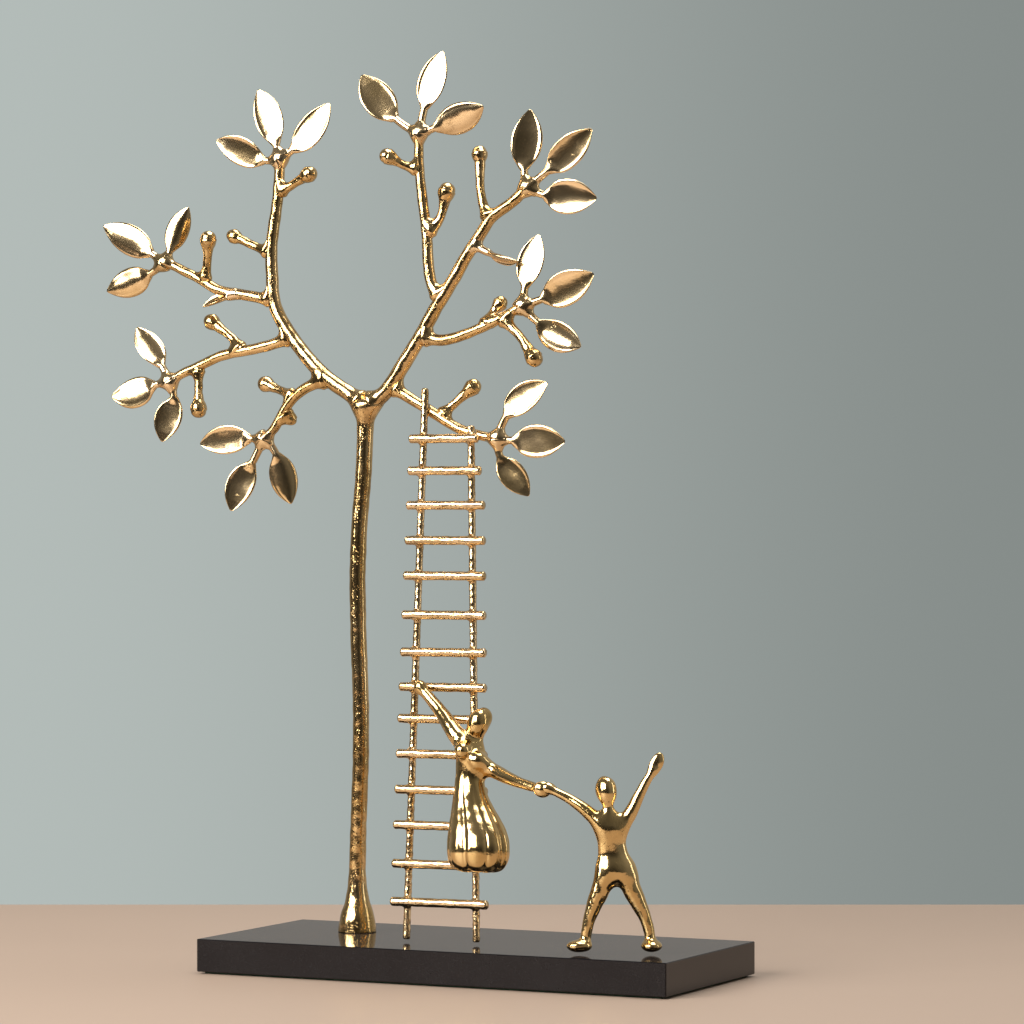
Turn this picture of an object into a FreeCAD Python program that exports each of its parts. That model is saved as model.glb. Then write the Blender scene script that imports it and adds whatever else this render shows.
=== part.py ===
import FreeCAD, Part

import math
import os

# Brass tree with a leaning ladder, a woman and a child, on a stone slab.
# Millimetres. The origin is the middle of the felt's underside, +X runs along the slab,
# +Y to the rear and +Z up. The tree is flat: its centrelines lie in one upright plane.

V = FreeCAD.Vector

# ---- how finely lofts are made ----
least_oval = 0.0001
sections_per_branch_step = 2
sections_per_rod_point = 3

# ---- slab, felt and the trunk's fixing ----
slab_length = 250.0
slab_depth = 108.0
slab_height = 16.0
slab_edge_bevel = 0.4
felt_thickness = 1.0
felt_inset = 3.0
stud_diameter = 5.0
stud_hole_clearance = 0.4
stud_depth_in_trunk = 12.0
stud_tail = 1.5
stud_end_gap = 0.5
nut_across_flats = 8.0
nut_height = 4.0
washer_diameter = 15.0
washer_thickness = 1.2
pocket_clearance = 1.5

# ---- trunk ----
trunk_x = -70.0
trunk_y = 10.0
trunk_height = 261.5
trunk_diameter = 8.1
trunk_foot_diameter = 19.0
trunk_foot_height = 31.0
trunk_top_diameter = 8.6
trunk_top_shift = 4.8
fork_knob_diameter = 9.6
# Swell of the foot at shares of its height, and sideways wander at shares of the trunk's.
trunk_flare = ((0.0, 1.0), (0.1, 0.97), (0.23, 0.86), (0.35, 0.66), (0.5, 0.36), (0.68, 0.18),
               (0.84, 0.08), (1.0, 0.03))
trunk_wander = ((0.2, 0.6), (0.33, 2.0), (0.44, 2.0), (0.56, 0.6), (0.68, 0.0), (0.78, 1.2),
                (0.84, 2.9), (0.9, 4.0))

# ---- limbs and branches: diameters at the root and at the end ----
limb_root_diameter = 8.0
limb_end_diameter = 5.2
branch_root_diameter = 5.8
branch_end_diameter = 4.6
hub_swell = 1.2

# ---- leaves and buds ----
leaf_stem_diameter = 3.8
leaf_thickness = 2.8
# Blade sections from neck to tip: (share of its length, share of its width and thickness)
leaf_outline = ((0.0, 0.25, 1.0), (0.15, 0.66, 1.0), (0.4, 1.0, 1.0), (0.65, 0.88, 0.9),
                (0.86, 0.48, 0.7), (0.96, 0.2, 0.5), (1.0, 0.06, 0.15))
# Stem sections: (share of the stem's length, share of its diameter)
leaf_stem_sections = ((0.0, 1.0), (0.65, 0.88))
bud_stem_diameter = 4.0
bud_neck_diameter = 4.2
bud_stations = 6

# ---- ladder ----
foot_gap = 1.2
ladder_foot_left = (-26.4, -21.7)
ladder_foot_right = (10.5, -19.8)
rail_diameter = 3.6
rail_over_left = 10.5
rail_over_right = 4.0
rail_share_left = 0.37
rail_share_right = 0.805
rail_bite = 0.4
rung_count = 14
rung_diameter = 4.4
rung_end_round = 1.1
rung_bite = 1.2
# Overhang of the lowest and the highest rung past each rail; two rungs stop shorter.
left_overhang = (7.5, 6.0)
right_overhang = (7.5, 8.2)
bottom_rung_rise = 18.3
top_rung_drop = 2.3
rung_lift = (0.0, 1.0, 2.4, 2.2, 2.2, 1.9, 0.0, -0.4, 0.4, 2.2, 2.1, 2.0, 1.6, 0.0)
short_right_overhang = {13: 6.3, 14: 5.0}

# ---- woman: one hand holds this rung, and heights on the body are taken down from it ----
woman_rung = 7
woman_x = 8.5
woman_bite = 1.0
woman_hand_inset = 5.5
woman_arm_diameter = 6.0
woman_wrist_diameter = 4.6
woman_hand_diameter = 6.2
woman_held_hand_step = (-2.2, 0.0, -0.9)
woman_arm_depths = (8.0, 10.0)
woman_arm_bend = 1.0
woman_head_drop = 15.4
woman_head_shift = 3.9
woman_head = (5.6, 5.3, 6.7)
woman_right_shoulder = (-4.2, 27.5)
woman_left_shoulder = (6.5, 34.5)
# Body sections: (drop below that rung, shift along X, width, depth)
woman_sections = ((87.2, 8.0, 16.0, 10.0), (86.2, 8.6, 25.0, 17.0), (82.4, 9.2, 29.5, 21.5),
                  (76.0, 9.3, 31.0, 23.0), (68.0, 8.1, 29.0, 21.0), (61.5, 5.6, 24.5, 18.0),
                  (54.0, 2.0, 18.0, 14.0), (42.0, -0.3, 14.6, 11.0), (35.0, 0.5, 17.5, 13.0),
                  (27.5, 0.4, 15.0, 10.5), (24.2, 1.2, 7.5, 6.4), (20.5, 2.2, 5.2, 5.0))

# ---- child: heights are above its soles, steps across are in its own frontal plane ----
child_x = 87.0
child_y = -28.0
child_turn = 28.0
child_arm_diameter = 5.2
child_wrist_diameter = 4.0
child_thigh_diameter = 8.4
child_ankle_diameter = 5.6
child_head_height = 75.3
child_head_shift = -3.4
child_head = (5.1, 4.9, 7.2)
child_held_hand = (-31.5, 8.0, 76.8)
child_raised_arm = ((4.0, 0, 59.0), (9.5, 0, 70.0), (14.0, 0, 78.5), (18.4, 0, 85.6))
child_raised_hand = ((19.9, 0, 89.2), (2.4, 1.6, 5.0))
child_held_arm = ((-6.0, 0, 59.5), (-14.0, 2.0, 66.0), (-22.0, 5.0, 72.4))
child_left_leg = ((6.0, 0, 37.0), (11.4, 0, 24.5), (16.4, 0, 12.0), (17.4, 0, 4.0))
child_right_leg = ((-4.2, 0, 37.0), (-9.0, 0, 24.0), (-12.8, 0, 11.0), (-13.4, 0, 4.0))
child_left_foot = ((17.3, -1.8, 2.0), (5.2, 6.2, 3.4))
child_right_foot = ((-16.4, -0.6, 2.0), (6.4, 4.2, 3.6))
# Body sections: (height, shift across, width, depth)
child_sections = ((33.0, 1.0, 12.0, 7.0), (38.0, 1.1, 18.0, 8.6), (44.0, 0.0, 15.4, 8.2),
                  (50.0, -1.0, 14.0, 8.0), (57.0, -1.8, 15.0, 8.0), (61.5, -2.0, 14.0, 7.0),
                  (64.5, -2.4, 7.0, 5.4), (69.0, -2.8, 4.4, 4.3))

# Way points of each limb and branch, as (across, up) steps from its own root.
fork_limbs = {
    "right_limb": [(10.5, 6), (18, 15.5), (24.5, 25), (31, 34.5), (37, 44.5), (50, 63.5),
                   (56, 73), (63, 82.5), (69.5, 91), (79.5, 97.5), (88.5, 105)],
    "left_limb": [(-10.5, 6.5), (-21.5, 13.5), (-30.5, 21.5), (-38.5, 30.5), (-46, 40.5),
                  (-51.5, 51), (-53, 63.5), (-53.5, 75.5), (-52.5, 87.5), (-50.5, 99.5),
                  (-48.5, 124)],
}
# Side branches: the limb they are brazed to, the share of its length, and their way points.
side_branches = {
    "centre_branch": ("right_limb", 0.473, [(-4.5, 9.5), (-6, 17), (-6.8, 30), (-8.5, 44.5),
                                            (-10.3, 58), (-11.3, 70), (-11.4, 83)]),
    "left_low_branch": ("left_limb", 0.137, [(-6.5, 0.8), (-12.5, 0), (-20.5, -4), (-27, -10),
                                             (-31.5, -17), (-34.5, -21.5), (-40.5, -26.5)]),
    "left_mid_branch": ("left_limb", 0.369, [(-5, -1.5), (-17, -4.5), (-29.5, -6.5), (-42, -9),
                                             (-53.5, -13.5), (-65, -18), (-71, -21.5)]),
    "left_high_branch": ("left_limb", 0.516, [(-10, 1.8), (-21, 3.8), (-32, 6), (-42, 11.3),
                                             (-52, 16), (-57.5, 18.5), (-63.5, 20.3)]),
    "right_mid_branch": ("right_limb", 0.309, [(5.5, 0.8), (11, 0.5), (21, 1.7), (31, 4.8),
                                               (41, 8.6), (50.5, 13), (57, 16.3)]),
    "right_low_branch": ("right_limb", 0.124, [(7.5, -4.8), (17.5, -10.5), (27, -16),
                                               (36.5, -21.3), (47, -24.7), (58.5, -27)]),
}
# Leaves of each spray: (stem heading in degrees, stem length, blade heading, blade length,
# blade width, sideways bow, turn about its own axis in degrees, lean to the rear in degrees).
leaf_sprays = {
    "left_crown": ("left_limb", [(-175, 8.0, 158, 29.0, 14.0, 0.0, 10, -6),
                                 (109, 7.0, 112, 31.0, 14.4, -1.0, 15, 4),
                                 (30, 7.5, 48, 31.0, 14.8, -1.4, 14, -4)]),
    "left_high": ("left_high_branch", [(146, 8.0, 151, 31.5, 15.2, -0.4, 8, -5),
                                       (-149, 9.5, -163, 29.0, 14.8, 0.4, -8, 5),
                                       (63, 6.0, 67, 25.0, 11.6, 0.6, 26, 6)]),
    "left_mid": ("left_mid_branch", [(119, 9.0, 128, 26.0, 13.4, 0.2, 30, 4),
                                     (-172, 8.0, -167, 26.0, 15.8, 1.0, -12, -5),
                                     (-70, 7.5, -105, 24.0, 14.2, 0.4, -12, -3)]),
    "left_low": ("left_low_branch", [(-179, 7.0, -175, 30.0, 14.4, -0.8, 6, 0),
                                     (-117, 13.5, -114, 27.0, 14.4, -1.0, -14, -6),
                                     (-50, 10.0, -74, 26.5, 13.8, 0.0, -22, 6)]),
    "centre": ("centre_branch", [(148, 14.5, 129, 29.0, 16.2, 1.0, 8, -4),
                                 (78, 12.5, 73, 30.0, 14.6, 0.4, 12, 4),
                                 (16, 9.0, 19, 29.5, 15.4, -0.8, 22, -4)]),
    "right_crown": ("right_limb", [(101, 8.5, 86, 30.0, 15.2, 0.0, 10, 4),
                                   (34, 13.5, 38, 31.5, 14.6, -0.4, 10, -4),
                                   (-23, 9.5, -5, 27.5, 17.0, 0.0, 26, 5)]),
    "right_mid": ("right_mid_branch", [(81, 9.0, 77, 27.0, 13.6, 0.4, 24, 5),
                                       (16, 11.0, 22, 31.5, 16.6, -0.6, 8, -4),
                                       (-43, 11.5, -29, 25.5, 14.8, -1.0, -20, 4)]),
    "right_low": ("right_low_branch", [(67, 11.5, 37, 27.5, 14.4, 1.6, 10, -4),
                                       (-6, 8.0, -1, 28.5, 16.2, -0.2, 6, 0),
                                       (-82, 8.5, -53, 24.5, 13.0, -0.2, -12, 5)]),
}
# Single small leaves: branch, share of its length, then as above.
folded_leaves = {
    "folded_leaf_left": ("left_high_branch", 0.32, (-160, 4.0, -159, 15.0, 7.6, 0, 52, -14)),
    "folded_leaf_right": ("right_limb", 0.715, (-28, 9.0, -16, 19.5, 7.6, 0, 58, -12)),
}
# Buds: parent, share of its length, heading, length to the head's middle, head, bow, lean.
buds = {
    "left_crown_bud": ("left_limb", 0.88, 25, 22.0, 7.6, 0, -8),
    "left_limb_bud": ("left_limb", 0.675, 157, 25.0, 6.8, 0, 4),
    "left_high_bud": ("left_high_branch", 0.62, 77, 22.5, 8.0, -0.6, -12),
    "left_mid_upper_bud": ("left_mid_branch", 0.38, 144, 26.5, 7.6, -0.8, 8),
    "left_mid_lower_bud": ("left_mid_branch", 0.75, -85, 22.5, 8.0, 0, -8),
    "left_low_bud": ("left_low_branch", 0.46, 163, 22.5, 7.6, 0.3, 15),
    "left_low_rear_bud": ("left_low_branch", 0.62, -78, 7.0, 5.6, 0, 30),
    "centre_left_bud": ("centre_branch", 0.79, 154, 17.5, 7.6, 0.8, -30),
    "centre_right_bud": ("centre_branch", 0.40, 66, 24.5, 8.2, -2.6, 6),
    "right_limb_bud": ("right_limb", 0.81, 101, 35.0, 7.4, 2.0, 6),
    "right_mid_blunt_bud": ("right_mid_branch", 0.60, 58, 15.5, 6.8, 0, 22),
    "right_mid_lower_bud": ("right_mid_branch", 0.78, -44, 29.0, 8.2, 1.8, -8),
    "right_low_bud": ("right_low_branch", 0.48, 42, 22.5, 7.8, 0, 12),
}

slab_top = felt_thickness + slab_height
pocket_depth = washer_thickness + nut_height + stud_tail + stud_end_gap
pocket_roof = felt_thickness + pocket_depth
stud_low = felt_thickness + stud_end_gap
foot_level = slab_top + foot_gap
fork = V(trunk_x + trunk_top_shift, trunk_y, slab_top + trunk_height)


def section(centre, along, wide, deep, turn=0.0):
    """Ellipse wire across the direction `along`, `wide` across the tree's plane and `deep`
    through it, turned about `along` by `turn` degrees. Wide is never less than deep."""
    along = V(along).normalize()
    rear = V(0, 1, 0)
    rear = (rear - along * rear.dot(along)).normalize()
    across = rear.cross(along)
    spin = FreeCAD.Rotation(along, turn)
    across = spin.multVec(across)
    rear = spin.multVec(rear)
    frame = FreeCAD.Matrix(across.x, rear.x, along.x, centre.x,
                           across.y, rear.y, along.y, centre.y,
                           across.z, rear.z, along.z, centre.z,
                           0, 0, 0, 1)
    edge = Part.Ellipse(V(0, 0, 0), max(wide, deep) / 2 + least_oval, deep / 2).toShape()
    edge.Placement = FreeCAD.Placement(frame)
    return Part.Wire([edge])


def smooth_line(points):
    """One smooth curve through the points."""
    curve = Part.BSplineCurve()
    curve.interpolate(points)
    return curve


def place(curve, share):
    """Point and direction at a share of the curve's parameter range."""
    first = curve.FirstParameter
    t = first + (curve.LastParameter - first) * share
    return curve.value(t), V(*curve.tangent(t)[0])


def tube(curve, root_diameter, end_diameter, stations):
    """Round tapered bar along a curve."""
    wires = []
    for i in range(stations + 1):
        share = i / stations
        centre, along = place(curve, share)
        size = root_diameter + (end_diameter - root_diameter) * share
        wires.append(section(centre, along, size, size))
    return Part.makeLoft(wires, True, False)


def ball(centre, diameter, axis):
    """Plain sphere whose poles lie along `axis`, so that a bar that ends in it hides one pole."""
    return Part.makeSphere(diameter / 2, centre, V(*axis))


def egg(centre, half_sizes, turn):
    """Ellipsoid with its own half sizes, turned about the vertical."""
    stretch = FreeCAD.Matrix()
    stretch.scale(V(*half_sizes))
    shape = Part.makeSphere(1.0).transformGeometry(stretch)
    shape.Placement = FreeCAD.Placement(centre, FreeCAD.Rotation(V(0, 0, 1), turn))
    return shape


def largest(shape):
    """The largest solid left by a cut."""
    return max(shape.Solids, key=lambda solid: solid.Volume)


def cope(piece, parents):
    """The piece with its root cut to sit face to face on what it is brazed to."""
    for parent in parents:
        piece = largest(piece.cut(parent))
    return piece


def heading(angle, lean):
    """Direction in the tree's plane at `angle` from +X, leaning to the rear by `lean`."""
    a = math.radians(angle)
    b = math.radians(lean)
    return V(math.cos(a) * math.cos(b), math.sin(b), math.sin(a) * math.cos(b))


def leaf(root, stem_heading, stem, blade_heading, blade, width, bow, turn, lean):
    """Leaf with its stem in one loft: round stem, lens-shaped blade, pointed tip."""
    neck = root + heading(stem_heading, lean / 2) * stem
    tip = neck + heading(blade_heading, lean) * blade
    middle = (neck + tip) * 0.5 + heading(blade_heading + 90, 0) * bow
    curve = smooth_line([root, neck, middle, tip])
    neck_share = stem / (stem + blade)
    wires = []
    for share, swell in leaf_stem_sections:
        centre, along = place(curve, neck_share * share)
        wires.append(section(centre, along, leaf_stem_diameter * swell,
                             leaf_stem_diameter * swell, turn))
    for share, wide, deep in leaf_outline:
        centre, along = place(curve, neck_share + (1 - neck_share) * share)
        wires.append(section(centre, along, max(width * wide, leaf_thickness * deep),
                             leaf_thickness * deep, turn))
    return Part.makeLoft(wires, True, False)


def bud(root, angle, length, head, bow, lean):
    """Slightly bowed rod that ends in a round head."""
    centre = root + heading(angle, lean) * length
    middle = (root + centre) * 0.5 + heading(angle + 90, 0) * bow
    stem = tube(smooth_line([root, middle, centre]), bud_stem_diameter, bud_neck_diameter,
                bud_stations)
    return stem.fuse(ball(centre, head, heading(angle, lean)))


def save(name, shape):
    """Write one node, after a look at whether its solids are sound."""
    solids = shape.Solids
    if not solids or not shape.isValid():
        raise RuntimeError(name + " is not a sound solid")
    shape.exportStep("parts/" + name + ".step")
    print(name, len(solids), round(shape.Volume, 1))


# ---- base: slab, felt, stud, washer and nut ----
def make_slab():
    """Stone slab with bevelled edges, a through hole and a pocket below for washer and nut."""
    block = Part.makeBox(slab_length, slab_depth, slab_height,
                         V(-slab_length / 2, -slab_depth / 2, felt_thickness))
    block = block.makeChamfer(slab_edge_bevel, block.Edges)
    hole = Part.makeCylinder(stud_diameter / 2 + stud_hole_clearance, slab_height,
                             V(trunk_x, trunk_y, felt_thickness))
    pocket = Part.makeCylinder(washer_diameter / 2 + pocket_clearance, pocket_depth,
                               V(trunk_x, trunk_y, felt_thickness))
    return block.cut(hole).cut(pocket)


def make_felt():
    """Felt sheet under the slab, a little smaller than it."""
    return Part.makeBox(slab_length - 2 * felt_inset, slab_depth - 2 * felt_inset, felt_thickness,
                        V(felt_inset - slab_length / 2, felt_inset - slab_depth / 2, 0))


def make_stud():
    """Stud from just below the nut up into the trunk's foot."""
    return Part.makeCylinder(stud_diameter / 2, slab_top + stud_depth_in_trunk - stud_low,
                             V(trunk_x, trunk_y, stud_low))


def make_washer():
    """Washer against the pocket's roof."""
    ring = Part.makeCylinder(washer_diameter / 2, washer_thickness,
                             V(trunk_x, trunk_y, pocket_roof - washer_thickness))
    bore = Part.makeCylinder(stud_diameter / 2 + stud_hole_clearance, washer_thickness,
                             V(trunk_x, trunk_y, pocket_roof - washer_thickness))
    return ring.cut(bore)


def make_nut():
    """Hexagon nut on the stud, under the washer."""
    low = pocket_roof - washer_thickness - nut_height
    reach = nut_across_flats / math.sqrt(3)
    corners = [V(trunk_x + reach * math.cos(math.radians(60 * i)),
                 trunk_y + reach * math.sin(math.radians(60 * i)), low) for i in range(7)]
    hexagon = Part.Face(Part.makePolygon(corners)).extrude(V(0, 0, nut_height))
    bore = Part.makeCylinder(stud_diameter / 2, nut_height, V(trunk_x, trunk_y, low))
    return hexagon.cut(bore)


# ---- tree ----
def make_trunk():
    """Trunk: flared foot, long even shaft that leans at the top, domed end at the fork."""
    wires = []
    for share, swell in trunk_flare:
        size = trunk_diameter + (trunk_foot_diameter - trunk_diameter) * swell
        centre = V(trunk_x, trunk_y, slab_top + trunk_foot_height * share)
        wires.append(section(centre, V(0, 0, 1), size, size))
    for share, shift in trunk_wander:
        centre = V(trunk_x + shift, trunk_y, slab_top + trunk_height * share)
        wires.append(section(centre, V(0, 0, 1), trunk_diameter, trunk_diameter))
    wires.append(section(fork, V(0, 0, 1), trunk_top_diameter, trunk_top_diameter))
    shaft = Part.makeLoft(wires, True, False)
    body = shaft.fuse(ball(fork, fork_knob_diameter, (0, 0, 1)))
    socket = Part.makeCylinder(stud_diameter / 2, stud_depth_in_trunk,
                               V(trunk_x, trunk_y, slab_top))
    return body.cut(socket)


def route(root, steps):
    """Centreline from a root point through its steps, in the tree's plane."""
    return smooth_line([root] + [root + V(x, 0, z) for x, z in steps])


def make_branch(curve, root_diameter, end_diameter, steps):
    """Tapered bar with a slightly swollen round hub at its end, where the leaves sit."""
    bar = tube(curve, root_diameter, end_diameter, sections_per_branch_step * len(steps))
    tip, along = place(curve, 1.0)
    return bar.fuse(ball(tip, end_diameter * hub_swell, along))


def make_tree():
    """Trunk, limbs, branches, leaves and buds, each coped on what it is brazed to."""
    lines = {}
    solids = {"trunk": make_trunk()}
    for name, steps in fork_limbs.items():
        lines[name] = route(fork, steps)
        bar = make_branch(lines[name], limb_root_diameter, limb_end_diameter, steps)
        solids[name] = cope(bar, list(solids.values()))
    for name, (parent, share, steps) in side_branches.items():
        lines[name] = route(place(lines[parent], share)[0], steps)
        bar = make_branch(lines[name], branch_root_diameter, branch_end_diameter, steps)
        solids[name] = cope(bar, [solids[parent]])
    for name, (parent, leaves) in leaf_sprays.items():
        hub = place(lines[parent], 1.0)[0]
        blades = []
        for values in leaves:
            blades.append(cope(leaf(hub, *values), [solids[parent]] + blades))
        solids[name + "_leaves"] = Part.makeCompound(blades)
    for name, (parent, share, values) in folded_leaves.items():
        root = place(lines[parent], share)[0]
        solids[name] = cope(leaf(root, *values), [solids[parent]])
    for name, (parent, share, *values) in buds.items():
        root = place(lines[parent], share)[0]
        solids[name] = cope(bud(root, *values), [solids[parent]])
    return lines, solids


# ---- ladder ----
def rail_ends(foot, line, share, over):
    """Foot and top of a rail that leans on the front of the low right branch."""
    low = V(foot[0], foot[1], foot_level)
    at_branch = place(line, share)[0]
    size = branch_root_diameter + (branch_end_diameter - branch_root_diameter) * share
    rest = at_branch - V(0, (size + rail_diameter) / 2 - rail_bite, 0)
    along = (rest - low).normalize()
    return low, rest + along * over


def at_height(ends, height):
    """Point of a straight rail at a height."""
    low, top = ends
    return low + (top - low) * ((height - low.z) / (top.z - low.z))


def rung_height(number, left, right):
    """Height of a rung's centreline: number 1 is the lowest, and the highest lies just under
    the place where the right rail meets its branch."""
    lowest = left[0].z + bottom_rung_rise
    highest = right[1].z - rail_over_right - top_rung_drop
    even = (highest - lowest) * (number - 1) / (rung_count - 1)
    return lowest + even + rung_lift[number - 1]


def rung_axis(number, left, right):
    """Ends of a rung's centreline: in front of both rails, past each by its overhang."""
    height = rung_height(number, left, right)
    a = at_height(left, height)
    b = at_height(right, height)
    forward = V(0, (rail_diameter + rung_diameter) / 2 - rung_bite, 0)
    along = (b - a).normalize()
    share = (number - 1) / (rung_count - 1)
    left_over = left_overhang[0] + (left_overhang[1] - left_overhang[0]) * share
    right_over = right_overhang[0] + (right_overhang[1] - right_overhang[0]) * share
    right_over = short_right_overhang.get(number, right_over)
    return a - forward - along * left_over, b - forward + along * right_over


def make_rung(start, end):
    """Round bar with eased ends."""
    bar = Part.makeCylinder(rung_diameter / 2, (end - start).Length, start, end - start)
    rims = [edge for edge in bar.Edges if edge.Curve.TypeId == "Part::GeomCircle"]
    return bar.makeFillet(rung_end_round, rims)


def make_ladder(line):
    """Two rails coped on the branch they lean on, and the rungs let into their fronts."""
    left = rail_ends(ladder_foot_left, line, rail_share_left, rail_over_left)
    right = rail_ends(ladder_foot_right, line, rail_share_right, rail_over_right)
    solids = {}
    for name, (low, top) in (("ladder_rail_left", left), ("ladder_rail_right", right)):
        bar = Part.makeCylinder(rail_diameter / 2, (top - low).Length, low, top - low)
        solids[name] = cope(bar, [nodes["right_low_branch"]])
    rails = list(solids.values())
    axes = {}
    for number in range(1, rung_count + 1):
        axes[number] = rung_axis(number, left, right)
        name = "rung_{:02d}".format(number)
        solids[name] = cope(make_rung(*axes[number]), rails + [nodes["right_low_branch"]])
    return solids, axes


# ---- figures ----
def front_of_rungs(height):
    """Y of the rungs' foremost line at a height on the ladder, in the woman's place."""
    low = rung_axes[1]
    high = rung_axes[rung_count]
    share = (height - low[0].z) / (high[0].z - low[0].z)
    return low[0].y + (high[0].y - low[0].y) * share - rung_diameter / 2


def rod(points, root_diameter, end_diameter):
    """Tapered round bar through a few points."""
    return tube(smooth_line(points), root_diameter, end_diameter,
                sections_per_rod_point * len(points))


def woman_point(shift, drop, deep):
    """Point on the woman's centreline, half the body's depth in front of the rungs."""
    height = rung_axes[woman_rung][0].z - drop
    return V(woman_x + shift, front_of_rungs(height) + woman_bite - deep / 2, height)


def make_woman(rungs, child_hand):
    """Body with head, set against the rungs, and two arms brazed to it."""
    wires = [section(woman_point(shift, drop, deep), V(0, 0, 1), wide, deep)
             for drop, shift, wide, deep in woman_sections]
    head_centre = woman_point(woman_head_shift, woman_head_drop, 2 * woman_head[1])
    head = egg(head_centre, woman_head, 0)
    body = cope(Part.makeLoft(wires, True, False).fuse(head), rungs)

    low, high = rung_axes[woman_rung]
    across = (high - low).normalize()
    grip = low + across * (left_overhang[0] + woman_hand_inset)
    grip = grip - V(0, (rung_diameter + woman_hand_diameter) / 2 - woman_bite, 0)
    shoulder = woman_point(*woman_right_shoulder, woman_arm_depths[0])
    middle = (shoulder + grip) * 0.5 - V(0, woman_arm_bend, 0)
    right = rod([shoulder, middle, grip], woman_arm_diameter, woman_wrist_diameter)
    right = cope(right.fuse(ball(grip, woman_hand_diameter, grip - middle)), [body] + rungs)

    shoulder = woman_point(*woman_left_shoulder, woman_arm_depths[1])
    hand = child_hand + V(*woman_held_hand_step)
    middle = (shoulder + hand) * 0.5 - V(0, 0, woman_arm_bend)
    left = rod([shoulder, middle, hand], woman_arm_diameter, woman_wrist_diameter)
    left = cope(left.fuse(ball(hand, woman_hand_diameter, hand - middle)), [body])
    return {"woman_body": body, "woman_right_arm": right, "woman_left_arm": left}


def make_child():
    """Child in its own frontal plane: torso, head, arms, legs and flat-soled feet."""
    wires = [section(V(shift, 0, height), V(0, 0, 1), wide, deep)
             for height, shift, wide, deep in child_sections]
    body = Part.makeLoft(wires, True, False)
    body = body.fuse(egg(V(child_head_shift, 0, child_head_height), child_head, 0))
    for leg in (child_left_leg, child_right_leg):
        body = body.fuse(rod([V(*p) for p in leg], child_thigh_diameter, child_ankle_diameter))
    for centre, half_sizes in (child_left_foot, child_right_foot):
        body = body.fuse(egg(V(*centre), half_sizes, 0))
    raised = [V(*p) for p in child_raised_arm]
    body = body.fuse(rod(raised, child_arm_diameter, child_wrist_diameter))
    centre, half_sizes = child_raised_hand
    body = body.fuse(egg(V(*centre), half_sizes, 0))
    held = [V(*p) for p in child_held_arm] + [V(*child_held_hand)]
    body = body.fuse(rod(held, child_arm_diameter, child_wrist_diameter))
    reach = child_head_height
    below = Part.makeBox(2 * reach, 2 * reach, reach, V(-reach, -reach, -reach))
    return largest(body.cut(below))


nodes = {
    "base_slab": make_slab(),
    "felt_sheet": make_felt(),
    "trunk_stud": make_stud(),
    "trunk_washer": make_washer(),
    "trunk_nut": make_nut(),
}
tree_lines, tree_solids = make_tree()
nodes.update(tree_solids)
ladder_solids, rung_axes = make_ladder(tree_lines["right_low_branch"])
nodes.update(ladder_solids)
child_place = FreeCAD.Placement(V(child_x, child_y, foot_level),
                                FreeCAD.Rotation(V(0, 0, 1), child_turn))
child = make_child()
child.Placement = child_place
rung_solids = [ladder_solids["rung_{:02d}".format(n)] for n in range(1, rung_count + 1)]
woman = make_woman(rung_solids, child_place.multVec(V(*child_held_hand)))
nodes.update(woman)
nodes["child"] = cope(child, [woman["woman_left_arm"]])

os.makedirs("parts", exist_ok=True)
for node_name, node_shape in nodes.items():
    save(node_name, node_shape)
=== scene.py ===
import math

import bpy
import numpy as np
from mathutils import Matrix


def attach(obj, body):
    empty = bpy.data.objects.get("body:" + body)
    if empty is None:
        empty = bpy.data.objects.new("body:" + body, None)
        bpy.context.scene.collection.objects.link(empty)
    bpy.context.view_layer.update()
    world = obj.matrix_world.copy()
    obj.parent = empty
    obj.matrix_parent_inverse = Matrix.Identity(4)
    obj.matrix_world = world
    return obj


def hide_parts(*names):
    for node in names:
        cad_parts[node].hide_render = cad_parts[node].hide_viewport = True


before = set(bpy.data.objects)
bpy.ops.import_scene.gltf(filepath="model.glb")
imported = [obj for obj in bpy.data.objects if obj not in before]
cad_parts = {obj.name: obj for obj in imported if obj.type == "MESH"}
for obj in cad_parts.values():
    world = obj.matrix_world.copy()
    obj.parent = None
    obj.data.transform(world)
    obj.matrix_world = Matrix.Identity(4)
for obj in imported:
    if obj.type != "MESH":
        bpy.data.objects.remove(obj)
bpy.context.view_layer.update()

# %% [markdown]
# # A cast brass tree with a ladder and two figures
# The real object is polished brass: every branch is cast as a tapering bar, brazed to the next
# one, and buffed until it mirrors the room. The ladder leans on the lowest branch. A woman on the
# ladder and a child below hold hands, and the trunk is bolted to a black stone slab.
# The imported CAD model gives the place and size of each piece. Here each piece gets the softer
# shape of a real casting: fillets of braze where bars meet, cupped leaves and folds in cloth.

# %% [markdown]
# ## Sizes
# All sizes are millimetres, as on a workshop drawing, and become metres only when a mesh is
# written. The tree is flat, so every way point of a branch is a step across and a step up from
# the place where the branch starts. Bars and figures stand where the CAD part has them.

# %% Base, trunk and bar sizes
MM = 0.001
slab_top = 17.0
foot_gap = 1.2
foot_level = slab_top + foot_gap
trunk_x, trunk_y, trunk_height = -70.0, 10.0, 261.5
trunk_diameter, trunk_foot_diameter, trunk_foot_height = 8.1, 19.0, 31.0
trunk_top_diameter, trunk_top_shift = 8.6, 4.8
trunk_flare = ((0.0, 1.0), (0.1, 0.97), (0.23, 0.86), (0.35, 0.66), (0.5, 0.36), (0.68, 0.18),
               (0.84, 0.08), (1.0, 0.03))
trunk_wander = ((0.2, 0.6), (0.33, 2.0), (0.44, 2.0), (0.56, 0.6), (0.68, 0.0), (0.78, 1.2),
                (0.84, 2.9), (0.9, 4.0))
limb_diameters = (8.0, 5.2)
branch_diameters = (5.8, 4.6)
fork = np.array([trunk_x + trunk_top_shift, trunk_y, slab_top + trunk_height])
print("fork at", fork)

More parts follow.
